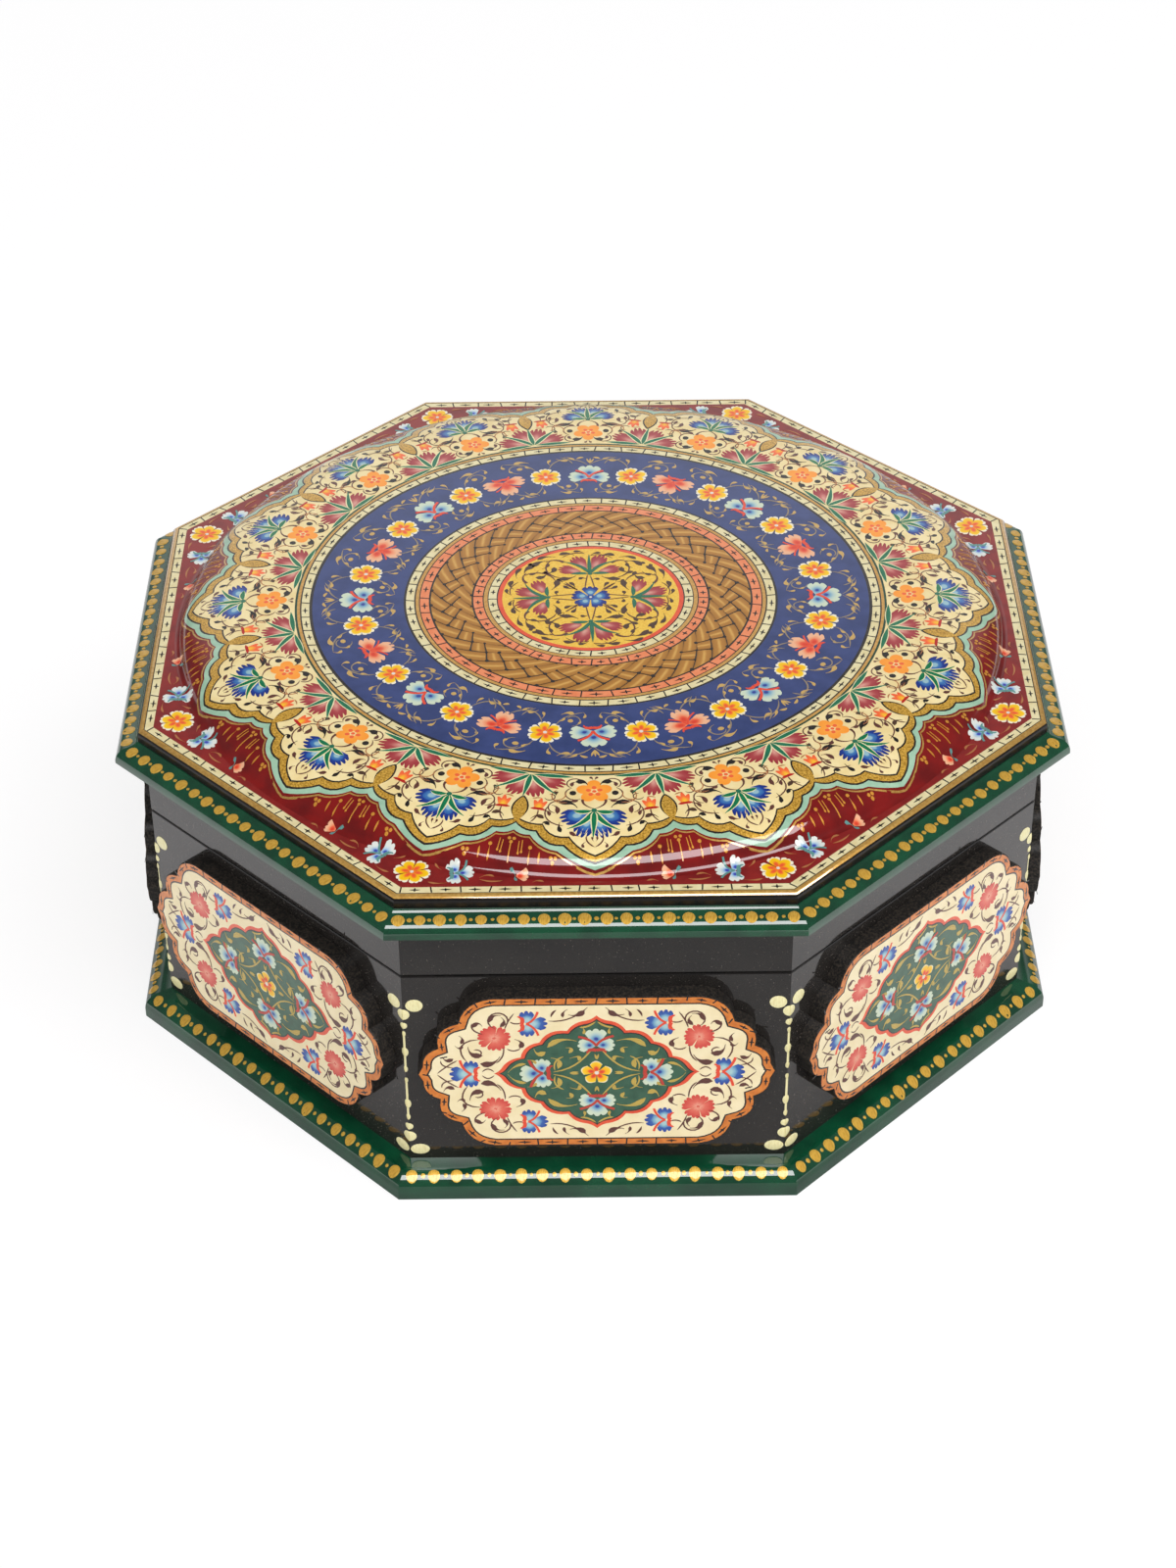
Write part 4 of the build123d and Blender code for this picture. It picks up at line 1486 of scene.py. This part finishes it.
# scrolls of one quarter of a plaque, x and y towards its corner
quarterSprigs = [
    ("line", 0.42, [(29.6, 11.6), (35.6, 11.4), (34.8, 6.6), (32.8, 4.2)]),
    ("comma", 1.1, [(34.6, 13.0), (33.0, 11.8), (34.2, 10.2)]),
    ("comma", 0.9, [(35.6, 9.6), (34.6, 8.0), (33.6, 9.4)]),
    ("line", 0.34, [(39.4, 4.6), (39.6, 2.4), (36.4, 2.2)]),
    ("comma", 1.3, [(39.0, 6.0), (38.2, 3.6), (36.2, 5.2)]),
    ("line", 0.36, [(40.4, 0.2), (37.8, 3.0), (35.2, 4.6)]),
    ("line", 0.34, [(29.0, 0.6), (27.6, 2.6), (26.0, 0.6)]),
    ("comma", 2.0, [(24.4, 5.8), (26.0, 2.4), (29.4, 3.4)]),
    ("line", 0.38, [(23.4, 9.0), (23.2, 5.4), (25.4, 3.6)]),
    ("comma", 1.8, [(32.4, 9.2), (32.2, 5.6), (28.8, 6.2)]),
    ("line", 0.36, [(30.4, 5.8), (27.8, 6.6), (29.4, 8.8), (31.0, 8.0)]),
    ("comma", 1.5, [(20.6, 11.6), (17.8, 10.6), (19.4, 8.6)]),
    ("line", 0.36, [(19.2, 8.4), (21.0, 7.0), (22.6, 8.4)]),
    ("line", 0.4, [(31.2, 17.0), (31.8, 14.4), (28.6, 13.4)]),
    ("comma", 1.3, [(28.6, 16.0), (29.6, 18.2), (31.2, 15.6)]),
    ("line", 0.36, [(20.6, 20.2), (22.4, 17.6), (23.0, 15.0)]),
    ("comma", 1.4, [(23.8, 19.6), (26.6, 20.0), (26.8, 17.4)]),
    ("comma", 1.2, [(23.8, 19.0), (22.2, 17.4), (24.2, 15.8)]),
    ("line", 0.36, [(21.6, 17.4), (20.6, 16.4), (18.8, 17.0)]),
    ("line", 0.36, [(12.0, 17.6), (6.6, 16.8), (2.2, 22.0)]),
    ("comma", 1.7, [(7.0, 19.6), (4.6, 18.6), (3.0, 21.0)]),
    ("comma", 0.9, [(7.2, 21.4), (8.8, 20.4), (8.4, 18.8)]),
    ("leaf", 0.6, [(10.0, 21.2), (11.2, 20.4), (11.4, 18.8)]),
]
medallionSprigs = [
    ("line", 0.44, [(11.0, 0.4), (5.2, 1.4), (3.6, 4.8), (1.2, 7.8)]),
    ("line", 0.4, [(10.6, 0.9), (11.4, 4.4), (8.4, 5.6)]),
    ("comma", 1.6, [(5.0, 10.8), (9.6, 12.6), (12.4, 8.8)]),
    ("comma", 1.6, [(15.8, 8.4), (15.2, 5.4), (12.9, 7.2)]),
    ("comma", 1.1, [(7.8, 8.6), (5.4, 8.8), (7.0, 6.8)]),
    ("comma", 1.4, [(11.6, 5.2), (8.4, 4.8), (9.8, 1.6)]),
    ("comma", 1.1, [(6.8, 5.0), (3.6, 6.4), (4.6, 4.2)]),
    ("comma", 0.9, [(22.6, 0.2), (20.6, 3.4), (17.9, 3.2)]),
    ("line", 0.5, [(4.2, 15.4), (2.4, 15.2), (0.3, 17.2)]),
    ("comma", 0.8, [(3.8, 15.8), (2.6, 14.2), (3.4, 13.2)]),
    ("comma", 0.9, [(17.6, 4.6), (15.6, 4.6), (15.4, 3.2)]),
    ("leaf", 0.5, [(0.5, 6.4), (0.2, 5.4), (0.1, 4.6)]),
    ("leaf", 0.6, [(4.6, 0.3), (5.8, 0.2), (6.8, 0.1)]),
]
plaqueIris = {
    "middle": (5.5, 5.2),
    "side": (4.7, 4.0),
    "turn": 93,
    "cuts": 3,
    "notch": 0.2,
    "stemEnd": (4.8, 2.7),
    "stemWide": 0.7,
    "bar": 1.6,
}
smallIris = dict(plaqueIris, middle=(5.0, 4.4), side=(4.3, 3.8), stemEnd=(3.9, 2.6), stemWide=0.6, bar=1.5)
medallionIris = dict(plaqueIris, middle=(5.5, 5.6), side=(4.8, 4.4), notch=0.14, stemEnd=(4.5, 2.9), bar=1.9)


plaqueSpots = {
    # where the flowers of the field and of the medallion sit, from the plaque's middle
    "iris": 32,
    "daisy": (25.8, 12),
    "smallIris": (17.2, 16.6),
    "side": 14,
    "end": 9.6,
}


def paintPlaque(angle):
    surface = onSide(angle, plaqueProfile)
    brush = Brush("plaque", lambda x, y, lift: surface(x, y, brushLifts["plaque"] + lift))
    daisyX, daisyY = plaqueSpots["daisy"]
    smallX, smallY = plaqueSpots["smallIris"]
    paintBorderCells(brush, plaqueOutline())
    for flip in (1, -1):
        iris = brush.loose(plaqueSpots["iris"] * flip, 0, -90 * flip)
        paintIris(iris, "plaquePetal", plaqueIris)
        for rise in (1, -1):
            quarter = brush.at(0, 0, 0 if rise > 0 else 180, 1, flip * rise)
            paintSprigs(quarter, "scrollBrown", quarterSprigs)
            quarter.stroke("scrollBrown", arc(24.5, 17.9, 2.8, -70, 290, 0.2), 0.4, "line", 12)
            daisy = brush.loose(daisyX * flip, daisyY * rise, random.uniform(0, 30))
            daisy.dot("daisyPetal", 0, 0, 1.2, 1, 0, 10)
            paintRosette(daisy, "daisyPetal", 9, 4.25, 2.3, 2, notch=0.16, crown=0.1, gap=0.4, base=0.16)
            small = brush.loose(smallX * flip, smallY * rise, 90 * flip)
            paintIris(small, "plaquePetal", smallIris)
    medallion = Brush("plaque", lambda x, y, lift: surface(x, y, brushLifts["medallion"] + lift))
    for flip in (1, -1):
        for rise in (1, -1):
            quarter = medallion.at(0, 0, 0 if rise > 0 else 180, 1, flip * rise)
            paintSprigs(quarter, "scrollOlive", medallionSprigs)
        side = medallion.loose(plaqueSpots["side"] * flip, 0, -90 * flip)
        paintIris(side, "blueIris", medallionIris, "stemDeepRed")
        end = medallion.loose(0, plaqueSpots["end"] * flip, 0 if flip > 0 else 180)
        paintIris(end, "blueIris", medallionIris, "stemDeepRed")
    medallion.dot("emberPetal", 0, 0, 1.0, 1, 0, 10)
    paintRosette(medallion, "emberPetal", 5, 4.0, 3.1, 0, notch=0, crown=0.34, gap=0.5, base=0.2)
    medallion.dot("spotPale", 0, 0, 0.6, 1, 3, 8)


seamShape = {"soft": 0.5, "segments": 2, "near": 0.02, "sharp": 5}


def buildPanels():
    # the walls and the lid's rim, softened where they meet so the seam reads as a fine groove; the groove's
    # faces take the darker black lacquer as painted shade in the seam
    for side, angle in sideAngles.items():
        out, _ = sideAxes(angle)
        for start, name, body in (("wall_", "wallPanel_", "body"), ("lid_rim_", "rimPanel_", "lid")):
            bm = bmesh.new()
            bm.from_mesh(nodes[start + side].data)
            bmesh.ops.scale(bm, vec=(1 / mm, 1 / mm, 1 / mm), verts=bm.verts)
            bmesh.ops.remove_doubles(bm, verts=bm.verts, dist=1e-3)
            bmesh.ops.dissolve_limit(bm, angle_limit=math.radians(1), verts=bm.verts, edges=bm.edges)
            near = seamShape["near"]
            ends = [v for v in bm.verts if abs(v.co.z - seam) < near and v.co.dot(out) > wallOut - near]
            edges = [e for e in bm.edges if all(v in ends for v in e.verts)]
            groove = bmesh.ops.bevel(
                bm,
                geom=edges,
                offset=seamShape["soft"],
                segments=seamShape["segments"],
                profile=0.5,
                affect="EDGES",
                material=-1,
            )
            # painted shade: the groove's faces take the darker black lacquer, the second finish added below
            for face in groove["faces"]:
                face.material_index = 1
            # flat faces, so that the seam's soft edge doesn't bend what the lacquer mirrors
            old, sharp = [start + side], seamShape["sharp"]
            piece = addPiece(name + side, bm, body, "wallBlack", old, sharp)
            piece.data.materials.append(paints["blackLacquer"])


buildPanels()

cornerDrops = {
    # beads up one edge of the body. On the faces: distance from the edge, height, half width and half
    # height. On the edge: height, half width and half height. Threads: their top, end and knot
    "face": [(3.0, 60.4, 2.2, 2.0), (2.7, 11.0, 2.5, 1.75)],
    "edge": [(57.4, 1.75, 1.7), (53.7, 1.0, 1.0), (19.0, 1.2, 1.1), (15.5, 1.9, 1.7)],
    "threads": [(51.6, 38.2, 44.8), (35.8, 21.6, 27.0)],
    "knot": (0.95, 1.5),
    "head": (0.5, 0.9),
    "tail": (0.6, 1.0),
    "threadWide": 0.34,
    "threadAside": 0.14,
}


def paintCorner(angle):
    # the beads sit across the edge, so each half is painted on its own face
    for flip in (1, -1):
        surface = onSide(angle - cornerTurn * flip, wallProfile)
        edge = wallOut * halfSide
        lifted = brushLifts["wall"]
        brush = Brush("wall", lambda x, y, lift: surface(flip * (edge - x), y, lifted + lift))
        for x, z, wide, high in cornerDrops["face"]:
            brush.dot("creamBead", x, z, wide, high / wide, 2, 16, 0.22)
        for z, wide, high in cornerDrops["edge"]:
            brush.halfDot("creamBead", z, wide, high)
        aside, wide = cornerDrops["threadAside"], cornerDrops["threadWide"]
        for top, end, knot in cornerDrops["threads"]:
            brush.halfDot("creamBead", knot, *cornerDrops["knot"])
            brush.halfDot("creamBead", top - 0.6, *cornerDrops["head"])
            brush.halfDot("creamBead", end + 0.8, *cornerDrops["tail"])
            thread = [(aside, top), (aside, (top + end) / 2), (aside, end)]
            brush.stroke("creamBead", thread, wide, "bar", 6, 2)


for angle in sideAngles.values():
    paintPlaque(angle)
    paintCorner(angle + cornerTurn)
print("plaques painted")



def hangChips():
    # the chips of each pot get their thickness and become one piece
    for (area, paint), bm in pots.items():
        thicken(bm)
        body, slot, start = areas[area]
        addPiece(start + paint[0].upper() + paint[1:], bm, body, paint)


hangChips()

# the pieces that the frame shows as they are take their finish


def clothPaint(name, light, dark):
    # short pile: a soft sheen over a fine mottled nap
    material, tree, shader = newFinish(name, roughness=0.95, coat=0, specular=0.2)
    shader.inputs["Sheen Weight"].default_value = 0.6
    shader.inputs["Sheen Roughness"].default_value = 0.35
    colour = addRamp(tree, addNoise(tree, 1.2, 4), [(0.35, tint(*dark)), (0.65, tint(*light))])
    tree.links.new(colour, shader.inputs["Base Color"])
    addBump(tree, shader, addNoise(tree, 0.45, 3), 0.6, 0.12)
    return material


def brassPaint(name):
    material, tree, shader = newFinish(name, roughness=0.3, coat=0, metallic=1, specular=0.5)
    colour = addRamp(tree, addNoise(tree, 3, 3), [(0.35, tint(186, 140, 66)), (0.65, tint(214, 170, 92))])
    tree.links.new(colour, shader.inputs["Base Color"])
    addBump(tree, shader, addNoise(tree, 0.6, 2), 0.2, 0.02)
    return material


paints["brass"] = brassPaint("brass")
paints["velvet"] = clothPaint("liningVelvet", (126, 22, 30), (96, 12, 20))
nodeFinish = {
    # by the start of a node's name; the first that fits counts
    "wall_lining": "velvet",
    "floor_lining": "velvet",
    "lid_lining": "velvet",
    "lid_rim_lining": "velvet",
    "wall_": "wallBlack",
    "lid_rim_": "wallBlack",
    "bottom_board": "wallBlack",
    "hinge_": "brass",
}
for name, node in nodes.items():
    for start, paint in nodeFinish.items():
        if name.startswith(start):
            node.data.materials.clear()
            node.data.materials.append(paints[paint])
            break

# camera, light and floor
camera = {
    "place": (-1.1421, -710.344, 581.676),
    "down": 37.324,
    "roll": -0.457,
    "yaw": -0.237,
    "focal": 3206.708,
    "imageWidth": 1200,
}


def placeCamera():
    down, roll = math.radians(camera["down"]), math.radians(camera["roll"])
    forward = Vector((0, math.cos(down), -math.sin(down)))
    right = Vector((1, 0, 0))
    up = right.cross(forward)
    rolledRight = right * math.cos(roll) + up * math.sin(roll)
    rolledUp = up * math.cos(roll) - right * math.sin(roll)
    turn = Matrix.Rotation(math.radians(camera["yaw"]), 4, "Z")
    axes = Matrix((rolledRight, rolledUp, -forward)).transposed().to_4x4()
    lens = bpy.data.cameras.new("camera")
    lens.sensor_fit = "HORIZONTAL"
    lens.sensor_width = 36
    lens.lens = camera["focal"] / camera["imageWidth"] * lens.sensor_width
    lens.clip_start = 0.01
    holder = bpy.data.objects.new("camera", lens)
    bpy.context.scene.collection.objects.link(holder)
    holder.matrix_world = turn @ Matrix.Translation(Vector(camera["place"]) * mm) @ axes
    bpy.context.scene.camera = holder


lightLevels = {
    "softboxPlace": (0.75, -2.15, 4.45),
    "softboxSize": (5.6, 2.4),
    "softboxPower": 240,
    "low": 0.72,
    "lowAhead": 0.1,
    "middle": 0.1,
    "lowEnd": 0.53,
    "middleStart": 0.6,
    "mirrorAhead": (0.0, 0.3),
    "mirrorAside": (0.35, 0.6),
    "floorSize": 12,
    "floorPaper": 0.9,
    "floorSeenAhead": 0.36,
    "floorSeenAside": 0.95,
    "floorSeenFrom": 0.07,
    "floorSeenTo": 0.17,
    "floorGlow": 1.08,
    "floorGlowShare": 0.7,
}


def grey(level):
    return (level, level, level, 1)


def lightScene():
    lamp = bpy.data.lights.new("softbox", "AREA")
    lamp.shape = "RECTANGLE"
    lamp.size, lamp.size_y = lightLevels["softboxSize"]
    lamp.energy = lightLevels["softboxPower"]
    lamp.color = (1, 0.98, 1)
    holder = bpy.data.objects.new("softbox", lamp)
    place = Vector(lightLevels["softboxPlace"])
    holder.matrix_world = Matrix.Translation(place) @ place.to_track_quat("Z", "Y").to_matrix().to_4x4()
    bpy.context.scene.collection.objects.link(holder)
    world = bpy.data.worlds.new("studio")
    bpy.context.scene.world = world
    world.use_nodes = True
    tree = world.node_tree
    background = tree.nodes["Background"]
    rays = addNode(tree, "ShaderNodeLightPath").outputs
    direction = addNode(tree, "ShaderNodeTexCoord").outputs["Generated"]
    along = addNode(tree, "ShaderNodeSeparateXYZ", {0: direction}).outputs
    low, middle, ahead = (grey(lightLevels[key]) for key in ("low", "middle", "lowAhead"))
    # the room's low part is pale, but dark where the lacquer mirrors what lies ahead and aside
    across = addNode(tree, "ShaderNodeMath", {0: along["X"]}, operation="ABSOLUTE").outputs[0]
    aside = addRamp(tree, across, list(zip(lightLevels["mirrorAside"], (grey(0), grey(1)))))
    deep = addRamp(tree, along["Y"], list(zip(lightLevels["mirrorAhead"], (ahead, low))))
    mirrored = addMix(tree, aside, deep, ahead)
    near = addMix(tree, rays["Is Glossy Ray"], low, mirrored)
    levels = [(lightLevels["lowEnd"], grey(0)), (lightLevels["middleStart"], grey(1))]
    studio = addMix(tree, addRamp(tree, along["Z"], levels), near, middle)
    shown = addMix(tree, rays["Is Camera Ray"], studio, grey(1))
    tree.links.new(shown, background.inputs["Color"])


def buildFloor():
    bm = bmesh.new()
    bmesh.ops.create_grid(bm, x_segments=1, y_segments=1, size=lightLevels["floorSize"])
    mesh = bpy.data.meshes.new("floor")
    bm.to_mesh(mesh)
    bm.free()
    floor = bpy.data.objects.new("floor", mesh)
    bpy.context.scene.collection.objects.link(floor)
    material = bpy.data.materials.new("floorPaper")
    material.use_nodes = True
    tree = material.node_tree
    tree.nodes.remove(tree.nodes["Principled BSDF"])
    rays = addNode(tree, "ShaderNodeLightPath").outputs
    paper = addNode(tree, "ShaderNodeBsdfDiffuse", {"Color": grey(lightLevels["floorPaper"])})
    # what the lacquer mirrors of the floor is darker right ahead of the box than aside
    place = addNode(tree, "ShaderNodeTexCoord").outputs["Object"]
    across = addNode(tree, "ShaderNodeSeparateXYZ", {0: place}).outputs["X"]
    aside = addNode(tree, "ShaderNodeMath", {0: across}, operation="ABSOLUTE").outputs[0]
    levels = [
        (lightLevels["floorSeenFrom"], grey(lightLevels["floorSeenAhead"])),
        (lightLevels["floorSeenTo"], grey(lightLevels["floorSeenAside"])),
    ]
    dim = addNode(tree, "ShaderNodeBsdfDiffuse", {"Color": addRamp(tree, aside, levels)})
    glow = addNode(tree, "ShaderNodeEmission", {"Color": grey(1), "Strength": lightLevels["floorGlow"]})
    parts = {0: rays["Is Glossy Ray"], 1: paper.outputs[0], 2: dim.outputs[0]}
    mirrored = addNode(tree, "ShaderNodeMixShader", parts)
    parts = {0: rays["Is Camera Ray"], 1: lightLevels["floorGlowShare"]}
    share = addNode(tree, "ShaderNodeMath", parts, operation="MULTIPLY").outputs[0]
    mix = addNode(tree, "ShaderNodeMixShader", {0: share, 1: mirrored.outputs[0], 2: glow.outputs[0]})
    tree.links.new(mix.outputs[0], tree.nodes["Material Output"].inputs["Surface"])
    mesh.materials.append(material)


placeCamera()
lightScene()
buildFloor()
bpy.context.scene.view_settings.view_transform = "Standard"
print("scene lit")
